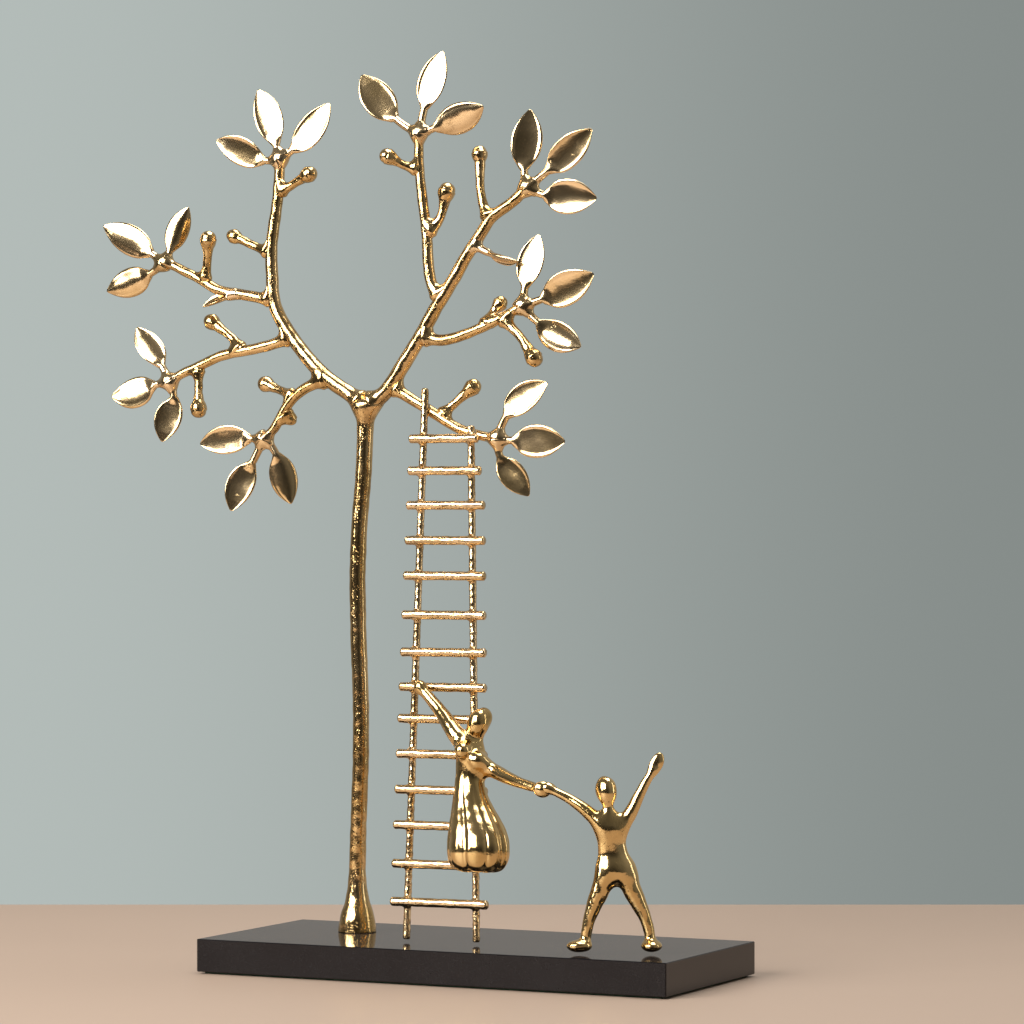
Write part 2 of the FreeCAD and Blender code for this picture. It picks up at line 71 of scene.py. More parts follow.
# %% Limbs and side branches
fork_limbs = {
    "right_limb": [
        (10.5, 6), (18, 15.5), (24.5, 25), (31, 34.5), (37, 44.5), (50, 63.5), (56, 73), (63, 82.5),
        (69.5, 91), (79.5, 97.5), (88.5, 105)],
    "left_limb": [
        (-10.5, 6.5), (-21.5, 13.5), (-30.5, 21.5), (-38.5, 30.5), (-46, 40.5), (-51.5, 51),
        (-53, 63.5), (-53.5, 75.5), (-52.5, 87.5), (-50.5, 99.5), (-48.5, 124)],
}
# Each side branch: the limb it grows from, the share of that limb's length, its way points.
side_branches = {
    "centre_branch": ("right_limb", 0.473, [
        (-4.5, 9.5), (-6, 17), (-6.8, 30), (-8.5, 44.5), (-10.3, 58), (-11.3, 70), (-11.4, 83)]),
    "left_low_branch": ("left_limb", 0.137, [
        (-6.5, 0.8), (-12.5, 0), (-20.5, -4), (-27, -10), (-31.5, -17), (-34.5, -21.5),
        (-40.5, -26.5)]),
    "left_mid_branch": ("left_limb", 0.369, [
        (-5, -1.5), (-17, -4.5), (-29.5, -6.5), (-42, -9), (-53.5, -13.5), (-65, -18),
        (-71, -21.5)]),
    "left_high_branch": ("left_limb", 0.516, [
        (-10, 1.8), (-21, 3.8), (-32, 6), (-42, 11.3), (-52, 16), (-57.5, 18.5), (-63.5, 20.3)]),
    "right_mid_branch": ("right_limb", 0.309, [
        (5.5, 0.8), (11, 0.5), (21, 1.7), (31, 4.8), (41, 8.6), (50.5, 13), (57, 16.3)]),
    "right_low_branch": ("right_limb", 0.124, [
        (7.5, -4.8), (17.5, -10.5), (27, -16), (36.5, -21.3), (47, -24.7), (58.5, -27)]),
}

# %% [markdown]
# ## Curves
# A bar follows a natural cubic spline, the line that a springy strip takes when it is held at a
# few points. It keeps the branches free of corners, which polished metal would show at once.

# %% A smooth line through points


def run_length(line):
    """Distance along a sampled line, at each sample."""
    return np.concatenate([[0.0], np.cumsum(np.linalg.norm(np.diff(line, axis=0), axis=1))])


def smooth_line(points, count):
    """Natural cubic through the points. The parameter is the chord length, each span is a cubic,
    and the second derivative is continuous and zero at both ends."""
    p = np.asarray(points, float)
    knots = run_length(p)
    h = np.diff(knots)
    inner = np.arange(1, len(p) - 1)
    system = np.eye(len(p))
    right = np.zeros_like(p)
    system[inner, inner - 1] = h[:-1]
    system[inner, inner] = 2 * (h[:-1] + h[1:])
    system[inner, inner + 1] = h[1:]
    slope = np.diff(p, axis=0) / h[:, None]
    right[inner] = 6 * np.diff(slope, axis=0)
    bend = np.linalg.solve(system, right)
    t = np.linspace(0, knots[-1], count)
    i = np.clip(np.searchsorted(knots, t, side="right") - 1, 0, len(h) - 1)
    a = ((knots[i + 1] - t) / h[i])[:, None]
    b = 1 - a
    return (a * p[i] + b * p[i + 1]
            + ((a ** 3 - a) * bend[i] + (b ** 3 - b) * bend[i + 1]) * (h[i] ** 2)[:, None] / 6)


def eased(t):
    """Smooth step: t squared times 3 - 2 t, with t held between 0 and 1."""
    t = np.clip(t, 0, 1)
    return t * t * (3 - 2 * t)


def averaged(values, window, **ends):
    """Moving average over a window of samples. The end values go on beyond the ends, unless the
    ends say otherwise."""
    padded = np.pad(values, window // 2, **(ends or {"mode": "edge"}))
    return np.convolve(padded, np.ones(window) / window, mode="valid")


def at_share(line, share):
    """Point at a share of a sampled line, 0 at its start and 1 at its end."""
    x = share * (len(line) - 1)
    i = min(int(x), len(line) - 2)
    return line[i] + (line[i + 1] - line[i]) * (x - i)


def heading(angle, lean):
    """Direction in the tree's plane at an angle from +X, in degrees, leaning to the rear."""
    a, b = math.radians(angle), math.radians(lean)
    return np.array([math.cos(a) * math.cos(b), math.sin(b), math.sin(a) * math.cos(b)])


def steps_from(root, steps):
    """Way points in the tree's plane, as steps across and up from the root."""
    return [root] + [root + np.array([x, 0.0, z]) for x, z in steps]


# %% [markdown]
# ## Bars that melt into each other
# Two brazed bars meet in a small concave fillet. Every bar has a distance function: the distance
# from a point to its skin, negative inside. A smooth minimum of two such functions is the skin
# of both bars with a fillet between them. A bar's grid is pushed outwards from its own centreline
# until it lies on that common skin, so its root opens like a bell onto its parent.

# %% Distance to a bar, and the fillet between bars


def bar_distance(q, bar):
    """Distance from points to a tapering bar: the distance to the nearest of its short straight
    runs, less the radius there."""
    path, radius = bar
    start = path[:-1]
    run = np.diff(path, axis=0)
    off = q[:, None, :] - start
    t = np.clip((off * run).sum(-1) / (run * run).sum(-1), 0, 1)
    gap = np.linalg.norm(off - t[..., None] * run, axis=-1)
    return (gap - (radius[:-1] + t * np.diff(radius))).min(axis=1)


def melt(a, b, fillet):
    """Smooth minimum: where two distances differ by less than the fillet, a parabola joins them."""
    h = np.clip(0.5 + 0.5 * (b - a) / fillet, 0, 1)
    return b * (1 - h) + a * h - fillet * h * (1 - h)


# %% Frames along a line, and the swept grid
least_fillet_share = 0.02
# Fillet at the root, sides, height and length of the ripple in each kind of bar's skin.
bar_skins = {"fork": (7.0, 40, 0.12, 9.0), "branch": (5.5, 40, 0.12, 9.0),
             "bud": (5.0, 32, 0.14, 6.0), "rail": (2.0, 24, 0.16, 4.5),
             "rung": (1.8, 28, 0.12, 6.0), "plain": (1.0, 24, 0.0, 7.0)}


def ring_angles(sides):
    """Even angles round a ring."""
    return np.linspace(0, 2 * math.pi, sides, endpoint=False)


def frames_along(path):
    """Direction, across and rear vectors of a line. Rear is the part of +Y at right angles to the
    line, and across completes the three."""
    along = np.gradient(path, axis=0)
    along /= np.linalg.norm(along, axis=1)[:, None]
    rear = np.array([0, 1.0, 0]) - along * along[:, 1:2]
    rear /= np.linalg.norm(rear, axis=1)[:, None]
    return along, np.cross(rear, along), rear


def ripple(q, size, length):
    """Uneven skin of a casting: a mean of three slow waves through space, each as long as
    the given length times its own factor."""
    waves = ((1.0, 0.31, 0.83, 0.5), (0.71, -0.9, 0.37, 1.7), (-0.43, 0.61, 1.17, 4.1))
    total = np.zeros(len(q))
    for x, y, z, phase in waves:
        total += np.sin((q @ np.array([x, y, z])) * (2 * math.pi / length) + phase)
    return total * size / len(waves)


def melted_reach(centre, spoke, own, others, fillet):
    """How far out along each spoke the common skin lies. A point steps outwards by its distance
    to the smooth minimum of its own bar, which is its reach less the bar's radius, and of all
    others, until it lies on the skin or is a fillet's width out."""
    rounds, stride, least_share, near_share = 14, 0.9, 0.9, 1.6
    reach = own.copy()
    if not others:
        return reach
    gap = np.min([bar_distance(centre + spoke * own[:, None], o) for o in others], axis=0)
    near = gap < near_share * fillet.max()
    c, s, radius, k, r = centre[near], spoke[near], own[near], fillet[near], own[near].copy()
    for _ in range(rounds):
        skin = r - radius
        for other in others:
            skin = melt(skin, bar_distance(c + s * r[:, None], other), k)
        r = np.clip(r - stride * skin, radius * least_share, radius + k)
    reach[near] = r
    return reach


def growing_fillet(path, fillet, fade):
    """Fillet for each sample of a line: nothing at its start and full after a short way, so that
    a root lies flush with the skin of its parent instead of standing on it as a collar."""
    share = eased(run_length(path) / fade) if fade else np.ones(len(path))
    return fillet * np.maximum(share, least_fillet_share)


def swept_grid(bar, others, kind, first=0, fade=0.0):
    """Points of a bar's skin on a grid of rings. Each point starts on the bar's own circle and
    steps outwards along its spoke by its distance to the common skin of all bars."""
    path, radius = bar
    fillet, sides, wave, wave_length = bar_skins[kind]
    along, across, rear = frames_along(path)
    angle = ring_angles(sides)
    spokes = (across[:, None, :] * np.cos(angle)[None, :, None]
              + rear[:, None, :] * np.sin(angle)[None, :, None])
    spokes, path, radius = spokes[first:], path[first:], radius[first:]
    spoke = spokes.reshape(-1, 3)
    centre = np.repeat(path, sides, axis=0)
    own = np.repeat(radius, sides)
    grown = np.repeat(growing_fillet(path, fillet, fade), sides)
    reach = melted_reach(centre, spoke, own, others, grown)
    reach += ripple(centre + spoke * own[:, None], wave, wave_length)
    return (centre + spoke * reach[:, None]).reshape(len(path), sides, 3)


# %% [markdown]
# ## Meshes
# A grid of rings becomes a closed surface when its first and last ring end in a pole. Faces run
# the same way round everywhere, so that all normals point outwards.

# %% Grid to mesh, and one place to make a piece


def closed_rings(grid, start=None, end=None):
    """Vertices and faces of stacked rings with a pole at each end: quads between neighbouring
    rings and a fan of triangles round each pole."""
    rings, sides, _ = grid.shape
    low = grid[0].mean(axis=0) if start is None else start
    high = grid[-1].mean(axis=0) if end is None else end
    verts = np.vstack([grid.reshape(-1, 3), low, high])
    i, j = np.meshgrid(np.arange(rings - 1), np.arange(sides), indexing="ij")
    k = (j + 1) % sides
    quads = np.stack([i * sides + j, i * sides + k, (i + 1) * sides + k, (i + 1) * sides + j], -1)
    ring = np.arange(sides)
    after = (ring + 1) % sides
    base = (rings - 1) * sides
    bottom = np.stack([after, ring, np.full(sides, rings * sides)], -1)
    top = np.stack([base + ring, base + after, np.full(sides, rings * sides + 1)], -1)
    faces = quads.reshape(-1, 4).tolist() + bottom.tolist() + top.tolist()
    return verts, faces


def joined(parts):
    """One list of vertices and faces from several."""
    verts, faces, shift = [], [], 0
    for v, f in parts:
        verts.append(v)
        faces += [[n + shift for n in face] for face in f]
        shift += len(v)
    return np.vstack(verts), faces


def outward(verts, faces):
    """The same faces, turned round if the volume they enclose comes out negative."""
    tri = np.array([f[:3] for f in faces] + [[f[0], f[2], f[3]] for f in faces if len(f) == 4])
    a, b, c = verts[tri[:, 0]], verts[tri[:, 1]], verts[tri[:, 2]]
    volume = (a * np.cross(b, c)).sum() / 6
    return faces if volume > 0 else [f[::-1] for f in faces]


def make_piece(name, parts, material, nodes):
    """Puts closed surfaces into one smooth-shaded object that stands for CAD nodes."""
    verts, faces = joined([(v, outward(v, f)) for v, f in parts])
    mesh = bpy.data.meshes.new(name)
    mesh.from_pydata((verts * MM).tolist(), [], faces)
    mesh.polygons.foreach_set("use_smooth", [True] * len(mesh.polygons))
    mesh.update()
    piece = bpy.data.objects.new(name, mesh)
    bpy.context.scene.collection.objects.link(piece)
    mesh.materials.append(material)
    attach(piece, "root")
    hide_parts(*nodes)
    print(name, len(verts), "vertices")
    return piece


# %% [markdown]
# ## Node groups
# Castings share three effects. *Patina* is the brown film that polishing leaves in hollows.
# *Pits* are the small pores of the casting skin. *Lumps* are its soft unevenness, which bends
# the reflections. Each is a node group with named inputs, so that each brass can mix its own.

# %% Helpers for node groups


def new_group(name, inputs, outputs):
    """Empty shader node group with float inputs (name, default) and outputs (name, kind)."""
    group = bpy.data.node_groups.new(name, "ShaderNodeTree")
    group.interface.new_socket("Vector", in_out="INPUT", socket_type="NodeSocketVector")
    for label, value in inputs:
        socket = group.interface.new_socket(label, in_out="INPUT", socket_type="NodeSocketFloat")
        socket.default_value = value
    for label, kind in outputs:
        group.interface.new_socket(label, in_out="OUTPUT", socket_type="NodeSocket" + kind)
    return group, group.nodes.new("NodeGroupInput"), group.nodes.new("NodeGroupOutput")


def feed(tree, socket, source):
    """Gives a socket a number, a colour of three numbers or another node's output."""
    if isinstance(source, (int, float)):
        socket.default_value = source
    elif isinstance(source, tuple):
        socket.default_value = (*source, 1.0)
    else:
        tree.links.new(source, socket)


def noise(tree, vector, scale, detail=3.0, rough=0.5):
    """Noise node on a vector; scale is waves per metre."""
    node = tree.nodes.new("ShaderNodeTexNoise")
    for socket, source in (("Vector", vector), ("Scale", scale), ("Detail", detail),
                           ("Roughness", rough)):
        feed(tree, node.inputs[socket], source)
    return node.outputs["Fac"]


def remap(tree, value, low, high, to_low=0.0, to_high=1.0):
    """Map a value's range onto another, clamped."""
    node = tree.nodes.new("ShaderNodeMapRange")
    for socket, source in (("Value", value), ("From Min", low), ("From Max", high),
                           ("To Min", to_low), ("To Max", to_high)):
        feed(tree, node.inputs[socket], source)
    return node.outputs["Result"]


def math_node(tree, operation, a, b):
    """Math node on two values or numbers."""
    node = tree.nodes.new("ShaderNodeMath")
    node.operation = operation
    for socket, source in zip(node.inputs, (a, b)):
        feed(tree, socket, source)
    return node.outputs[0]


def colour_mix(tree, factor, a, b):
    """Mix of two colours by a factor; each colour is three numbers or a socket."""
    node = tree.nodes.new("ShaderNodeMix")
    node.data_type = "RGBA"
    feed(tree, node.inputs["Factor"], factor)
    for socket, colour in zip([s for s in node.inputs if s.type == "RGBA"], (a, b)):
        feed(tree, socket, colour)
    return [s for s in node.outputs if s.type == "RGBA"][0]


def bump(tree, height, strength, distance):
    """Bump node on a height; distance is in metres."""
    node = tree.nodes.new("ShaderNodeBump")
    for socket, source in (("Height", height), ("Strength", strength), ("Distance", distance)):
        feed(tree, node.inputs[socket], source)
    return node


def new_material(name, **fixed):
    """Material with its tree, its shader and the object's coordinates. Plain inputs of the
    shader are given by name, with _ for each space."""
    material = bpy.data.materials.new(name)
    material.use_nodes = True
    tree = material.node_tree
    shader = tree.nodes["Principled BSDF"]
    for label, value in fixed.items():
        feed(tree, shader.inputs[label.replace("_", " ")], value)
    return material, tree, shader, tree.nodes.new("ShaderNodeTexCoord").outputs["Object"]


# %% Pits, patina and lumps


def make_pits_group():
    """Pores: round cells of a Voronoi pattern, kept only where a slow noise is high."""
    group, given, made = new_group("pits", [("Scale", 700.0), ("Amount", 0.5)],
                                   [("Height", "Float"), ("Mask", "Float")])
    cells = group.nodes.new("ShaderNodeTexVoronoi")
    group.links.new(given.outputs["Vector"], cells.inputs["Vector"])
    group.links.new(given.outputs["Scale"], cells.inputs["Scale"])
    pore = remap(group, cells.outputs["Distance"], 0.12, 0.34, 1.0, 0.0)
    where = noise(group, given.outputs["Vector"], 90.0, 4.0, 0.6)
    limit = remap(group, given.outputs["Amount"], 0.0, 1.0, 0.75, 0.35)
    mask = remap(group, math_node(group, "SUBTRACT", where, limit), 0.0, 0.12)
    pits = math_node(group, "MULTIPLY", pore, mask)
    group.links.new(pits, made.inputs["Mask"])
    group.links.new(math_node(group, "MULTIPLY", pits, -1.0), made.inputs["Height"])
    return group


def make_patina_group():
    """Brown film: two noises, one in patches and one in specks, multiplied and sharpened."""
    group, given, made = new_group("patina", [("Scale", 60.0), ("Amount", 0.4)],
                                   [("Mask", "Float")])
    patches = noise(group, given.outputs["Vector"], given.outputs["Scale"], 5.0, 0.62)
    specks = noise(group, given.outputs["Vector"], 900.0, 2.0, 0.5)
    both = math_node(group, "ADD", math_node(group, "MULTIPLY", patches, 0.75),
                     math_node(group, "MULTIPLY", specks, 0.25))
    limit = remap(group, given.outputs["Amount"], 0.0, 1.0, 0.72, 0.36)
    group.links.new(remap(group, math_node(group, "SUBTRACT", both, limit), 0.0, 0.16),
                    made.inputs["Mask"])
    return group


def make_lumps_group():
    """Hammered and cast unevenness: a soft noise with a finer one over it, as a height."""
    group, given, made = new_group("lumps", [("Scale", 160.0), ("Fine", 0.3)],
                                   [("Height", "Float")])
    soft = noise(group, given.outputs["Vector"], given.outputs["Scale"], 2.0, 0.45)
    fine = noise(group, given.outputs["Vector"],
                 math_node(group, "MULTIPLY", given.outputs["Scale"], 5.0), 3.0, 0.55)
    height = math_node(group, "ADD", soft, math_node(group, "MULTIPLY", fine,
                                                     given.outputs["Fine"]))
    group.links.new(height, made.inputs["Height"])
    return group


pits_group = make_pits_group()
patina_group = make_patina_group()
lumps_group = make_lumps_group()

# %% [markdown]
# ## Brass
# Brass is a metal, so its colour is the colour of its reflections: a warm yellow that turns
# brown where the film of oxide is thick. A mirror finish needs a low roughness, and what makes
# it look real are the small errors of the surface, which bend the reflections.

# %% A brass material from its amounts
lump_height, pit_depth, pit_strength = 0.0006, 0.0002, 0.6
film_roughness = 0.22


def place_group(tree, group, vector, **values):
    """Group node fed by a vector, with its other inputs set by name."""
    node = tree.nodes.new("ShaderNodeGroup")
    node.node_tree = group
    tree.links.new(vector, node.inputs["Vector"])
    for label, value in values.items():
        node.inputs[label].default_value = value
    return node


def make_brass(name, bright, deep, film, rough, patina, pits, pit_scale, lumps, lump_scale):
    """Polished brass: colour between bright and deep by slow noise, brown film by the patina
    mask and in the pits, roughness raised by both, and bumps from lumps and pits."""
    material, tree, shader, where = new_material(name, Metallic=1.0)
    slow = remap(tree, noise(tree, where, 45.0, 3.0), 0.35, 0.65)
    film_mask = place_group(tree, patina_group, where, Scale=70.0, Amount=patina).outputs["Mask"]
    pores = place_group(tree, pits_group, where, Scale=pit_scale, Amount=pits)
    dirt = math_node(tree, "MAXIMUM", math_node(tree, "MULTIPLY", film_mask, 0.75),
                     pores.outputs["Mask"])
    colour = colour_mix(tree, slow, bright, deep)
    colour = colour_mix(tree, dirt, colour, film)
    tree.links.new(colour, shader.inputs["Base Color"])
    tree.links.new(remap(tree, dirt, 0.0, 1.0, rough, rough + film_roughness),
                   shader.inputs["Roughness"])
    bumps = place_group(tree, lumps_group, where, Scale=lump_scale, Fine=0.25)
    first = bump(tree, bumps.outputs["Height"], lumps, lump_height)
    second = bump(tree, pores.outputs["Height"], pit_strength, pit_depth)
    tree.links.new(first.outputs["Normal"], second.inputs["Normal"])
    tree.links.new(second.outputs["Normal"], shader.inputs["Normal"])
    return material


# Bright, deep and film colour, roughness, patina, pits and their scale, lumps and their scale.
branch_brass = make_brass("branch_brass", (0.80, 0.56, 0.27), (0.58, 0.385, 0.15),
                          (0.10, 0.055, 0.02), 0.13, 0.50, 0.7, 800.0, 0.32, 260.0)
leaf_brass = make_brass("leaf_brass", (0.82, 0.615, 0.36), (0.66, 0.475, 0.235),
                        (0.22, 0.135, 0.055), 0.17, 0.34, 0.35, 1000.0, 0.20, 120.0)
figure_brass = make_brass("figure_brass", (0.82, 0.59, 0.28), (0.62, 0.425, 0.17),
                          (0.16, 0.095, 0.035), 0.13, 0.34, 0.45, 900.0, 0.22, 220.0)
ladder_brass = make_brass("ladder_brass", (0.82, 0.61, 0.36), (0.62, 0.44, 0.22),
                          (0.13, 0.08, 0.035), 0.15, 0.52, 0.8, 700.0, 0.38, 300.0)

# %% [markdown]
# ## Trunk and branches
# The trunk swells into a heavy foot, and its shaft wanders a little, as hand-shaped wax does.
# The limbs start inside the trunk's rounded end. Each bar is melted with its neighbours, the
# bars it touches.

# %% Trunk line and widths


def trunk_bar():
    """Trunk as rings: centre and radius from the foot's flare and the shaft's wander."""
    foot = [(trunk_foot_height * s, 0.0, trunk_diameter + (trunk_foot_diameter
             - trunk_diameter) * f) for s, f in trunk_flare]
    shaft = [(trunk_height * s, x, trunk_diameter) for s, x in trunk_wander]
    rows = np.array(foot + shaft + [(trunk_height, trunk_top_shift, trunk_top_diameter)])
    # Rings are closer together in the foot, where the skin bends most.
    up = np.concatenate([np.linspace(0, 40, 60), np.linspace(41.5, trunk_height, 150)])
    across = np.interp(up, rows[:, 0], rows[:, 1])
    across = averaged(across, 9)
    wide = averaged(np.interp(up, rows[:, 0], rows[:, 2]), 7)
    path = np.stack([trunk_x + across, np.full_like(up, trunk_y), slab_top + up], -1)
    return path, wide / 2


trunk = trunk_bar()
print("trunk rings", len(trunk[0]))

# %% Lines of all bars
lines = {}
bars = {"trunk": trunk}


def add_bar(name, root, steps, diameters, count):
    """Line and tapering radius of a limb or branch."""
    lines[name] = smooth_line(steps_from(root, steps), count)
    bars[name] = (lines[name], np.linspace(*diameters, count) / 2)


for name, steps in fork_limbs.items():
    add_bar(name, fork, steps, limb_diameters, 161)
for name, (parent, share, steps) in side_branches.items():
    add_bar(name, at_share(lines[parent], share), steps, branch_diameters, 101)
print(len(bars), "bars")

# %% Skins of trunk, limbs and branches
root_depths = {"fork": 3.2, "branch": 2.2, "bud": 2.0}
root_fade = 2.5
fork_bars = ("trunk", "left_limb", "right_limb")
neighbours = {name: [other for other in fork_bars if other != name] for name in fork_bars}
for name, (parent, share, steps) in side_branches.items():
    neighbours[name] = [parent]


def coarse(bar, step=4):
    """A bar with fewer samples, for a quicker distance."""
    path, radius = bar
    keep = np.r_[0:len(path) - 1:step, len(path) - 1]
    return path[keep], radius[keep]


def root_station(bar, parents, depth):
    """First sample of a bar whose centre is no deeper than that inside its parents' skins."""
    path, _ = bar
    gap = np.min([bar_distance(path, coarse(p)) for p in parents], axis=0)
    return int(np.argmax(gap > -depth))


def domed(grid, bar, rings=5):
    """Adds a half ball of rings after the last ring of a grid."""
    path, radius = bar
    along = frames_along(path)[0][-1]
    t = np.linspace(0, math.pi / 2, rings + 2)[1:-1]
    last = grid[-1] - path[-1]
    caps = path[-1] + last[None] * np.cos(t)[:, None, None] + along * (
        radius[-1] * np.sin(t))[:, None, None]
    return np.vstack([grid, caps]), path[-1] + along * radius[-1]


for name, near in neighbours.items():
    own = bars[name]
    parents = [bars[n] for n in near]
    kind = "fork" if name in fork_bars else "branch"
    first, fade = (0, 0.0) if name == "trunk" else (
        root_station(own, parents, root_depths[kind]), root_fade)
    grid, pole = domed(swept_grid(own, [coarse(b) for b in parents], kind, first, fade), own)
    make_piece(name + "_casting", [closed_rings(grid, None, pole)], branch_brass,
               [name])

# %% [markdown]
# ## Leaves
# A leaf is a flat ellipse swept along its midrib and bent into a shallow spoon: its edges rise
# towards one side by the square of their distance from the midrib. Its stem is round and melts
# into the end of the branch and into the other stems.

# %% Leaf sizes
leaf_stem_diameter, leaf_thickness, leaf_rim = 4.3, 2.0, 0.28
stem_taper, stem_back = (1.0, 0.88), 1.9
leaf_outline = ((0.0, 0.27), (0.08, 0.45), (0.2, 0.79), (0.32, 0.96), (0.45, 1.02), (0.6, 0.98),
                (0.74, 0.81), (0.86, 0.54), (0.94, 0.29), (1.0, 0.07))
# Thickness of the blade at shares of its length, as a share of the full thickness.
blade_thickness = ((0.0, 1.0), (0.3, 0.8), (0.8, 0.62), (1.0, 0.18))
rim_place, rim_spread, blade_start, stem_end = 0.88, 0.09, 0.22, 0.12
leaf_sides, leaf_samples, leaf_fade = 52, 80, 2.2
spray_fillet, folded_fillet = 4.2, 2.6
leaf_ripple = (0.10, 14.0)
# Stem heading, stem length, blade heading, blade length, width, bow, turn, lean, cup.
leaf_sprays = {
    "left_crown": ("left_limb", [
        (-175, 8.0, 158, 29.0, 14.0, 0.0, -4, -6, 1.2),
        (109, 7.0, 112, 31.0, 14.4, -1.0, 15, 4, 1.4),
        (30, 7.5, 48, 31.0, 14.8, -1.4, 0, 3, 1.0)]),
    "left_high": ("left_high_branch", [
        (146, 8.0, 151, 31.5, 15.2, -0.4, 2, -5, -1.2),
        (-149, 9.5, -163, 29.0, 14.8, 0.4, -8, 5, -1.2),
        (63, 6.0, 67, 25.0, 11.6, 0.6, 26, 6, -1.8)]),
    "left_mid": ("left_mid_branch", [
        (119, 9.0, 128, 26.0, 13.4, 0.2, 42, 4, 1.4),
        (-172, 8.0, -167, 26.0, 15.8, 1.0, 8, -3, -1.0),
        (-70, 7.5, -105, 24.0, 14.2, 0.4, -12, -3, 1.2)]),
    "left_low": ("left_low_branch", [
        (-179, 7.0, -175, 30.0, 14.4, -0.8, -3, 0, 1.0),
        (-117, 13.5, -114, 27.0, 14.4, -1.0, -14, -6, 1.0),
        (-50, 10.0, -74, 26.5, 13.8, 0.0, -22, 6, -1.8)]),
    "centre": ("centre_branch", [
        (148, 14.5, 129, 29.0, 16.2, 1.0, 24, -4, 0.7),
        (78, 12.5, 73, 30.0, 14.6, 0.4, 4, 6, 1.0),
        (16, 9.0, 19, 29.5, 15.4, -0.8, 22, -4, -1.4)]),
    "right_crown": ("right_limb", [
        (101, 8.5, 86, 30.0, 15.2, 0.0, 22, 4, 1.0),
        (34, 13.5, 38, 31.5, 14.6, -0.4, 10, -4, 1.4),
        (-23, 9.5, -5, 27.5, 17.0, 0.0, 6, 5, 1.5)]),
    "right_mid": ("right_mid_branch", [
        (81, 9.0, 77, 27.0, 13.6, 0.4, 5, 7, 1.0),
        (16, 11.0, 22, 31.5, 16.6, -0.6, 8, -4, 1.5),
        (-43, 11.5, -29, 25.5, 14.8, -1.0, -20, 4, -1.6)]),
    "right_low": ("right_low_branch", [
        (67, 11.5, 37, 27.5, 14.4, 1.6, -4, 2, 1.2),
        (-6, 8.0, -1, 28.5, 16.2, -0.2, 1, 0, 0.7),
        (-82, 8.5, -53, 24.5, 13.0, -0.2, -12, 5, 1.5)]),
}
folded_leaves = {
    "folded_leaf_left": ("left_high_branch", 0.32, (-160, 4.0, -159, 15.0, 7.6, 0, 52, -14, 2.0)),
    "folded_leaf_right": ("right_limb", 0.715, (-28, 9.0, -16, 19.5, 7.6, 0, 58, -12, 2.0)),
}

# %% One leaf


def leaf_line(root, stem_heading, stem, blade_heading, blade, bow, lean):
    """Midrib from just behind the root through neck and bowed middle to the tip, the distance
    along it at which the blade starts, and the distance of every sample."""
    neck = root + heading(stem_heading, lean / 2) * stem
    tip = neck + heading(blade_heading, lean) * blade
    middle = (neck + tip) / 2 + heading(blade_heading + 90, 0) * bow
    behind = root - heading(stem_heading, lean / 2) * stem_back
    line = smooth_line([behind, neck, middle, tip], leaf_samples)
    return line, stem + stem_back, run_length(line)


def stem_radius(neck_at, far):
    """Radius of a leaf's stem, which narrows towards the neck. Its root is a half ball."""
    full = leaf_stem_diameter / 2 * np.interp(far, [0, neck_at], stem_taper)
    back = np.clip(1 - far / stem_back, 0, 1)
    return full * np.sqrt(np.maximum(1 - back * back, 0.01))


def leaf_stem(line, neck_at, far):
    """The stem as a bar, up to where the blade starts."""
    keep = far <= neck_at + 0.8
    return line[keep], stem_radius(neck_at, far[keep])


def leaf_grid(line, neck_at, far, width, turn, cup, others, fillet):
    """Rings of a leaf. On ring u the half width a and half thickness b give the ellipse
    (a cos v, b sin v). A narrow bell near the edge adds the rim, and every point is lifted by cup
    times cos v squared, which bends the ellipse into a spoon. Towards the root, a and b both
    become the stem's radius."""
    along, across, rear = frames_along(line)
    t = np.clip((far - neck_at) / (far[-1] - neck_at), 0, 1)
    wide = averaged(np.interp(t, *np.transpose(leaf_outline)), 5)
    wide[-1] *= 0.3
    stem = stem_radius(neck_at, far)
    ease = eased(t / blade_start)
    a = np.maximum(stem * (1 - ease) + width / 2 * wide * ease, width / 2 * wide * (t > 0.02))
    thick = leaf_thickness / 2 * np.interp(t, *np.transpose(blade_thickness))
    b = stem * (1 - ease) + thick * ease
    bend = cup * ease * np.clip(a / (width / 2), 0, 1)
    rim = leaf_rim * np.clip(t / 0.3, 0, 1) * np.clip(a / (0.3 * width), 0, 1)
    spin = math.radians(turn)
    side = across * math.cos(spin) + np.cross(along, across) * math.sin(spin)
    face = rear * math.cos(spin) + np.cross(along, rear) * math.sin(spin)
    cos, sin = np.cos(ring_angles(leaf_sides)), np.sin(ring_angles(leaf_sides))
    bead = np.exp(-((np.abs(cos) - rim_place) / rim_spread) ** 2) * np.sign(sin)
    x = a[:, None] * cos
    y = b[:, None] * sin + rim[:, None] * bead - bend[:, None] * cos ** 2
    flat = side[:, None, :] * x[..., None] + face[:, None, :] * y[..., None]
    grid = line[:, None, :] + flat
    stems = t < stem_end
    centre = np.repeat(line[stems], leaf_sides, axis=0)
    spoke = flat[stems].reshape(-1, 3)
    own = np.linalg.norm(spoke, axis=1)
    spoke /= own[:, None]
    grown = np.repeat(growing_fillet(line[stems], fillet, leaf_fade), leaf_sides)
    reach = melted_reach(centre, spoke, own, others, grown)
    grid[stems] = (centre + spoke * reach[:, None]).reshape(-1, leaf_sides, 3)
    wave = ripple(grid.reshape(-1, 3), *leaf_ripple).reshape(grid.shape[:2])
    return grid + face[:, None, :] * wave[..., None]


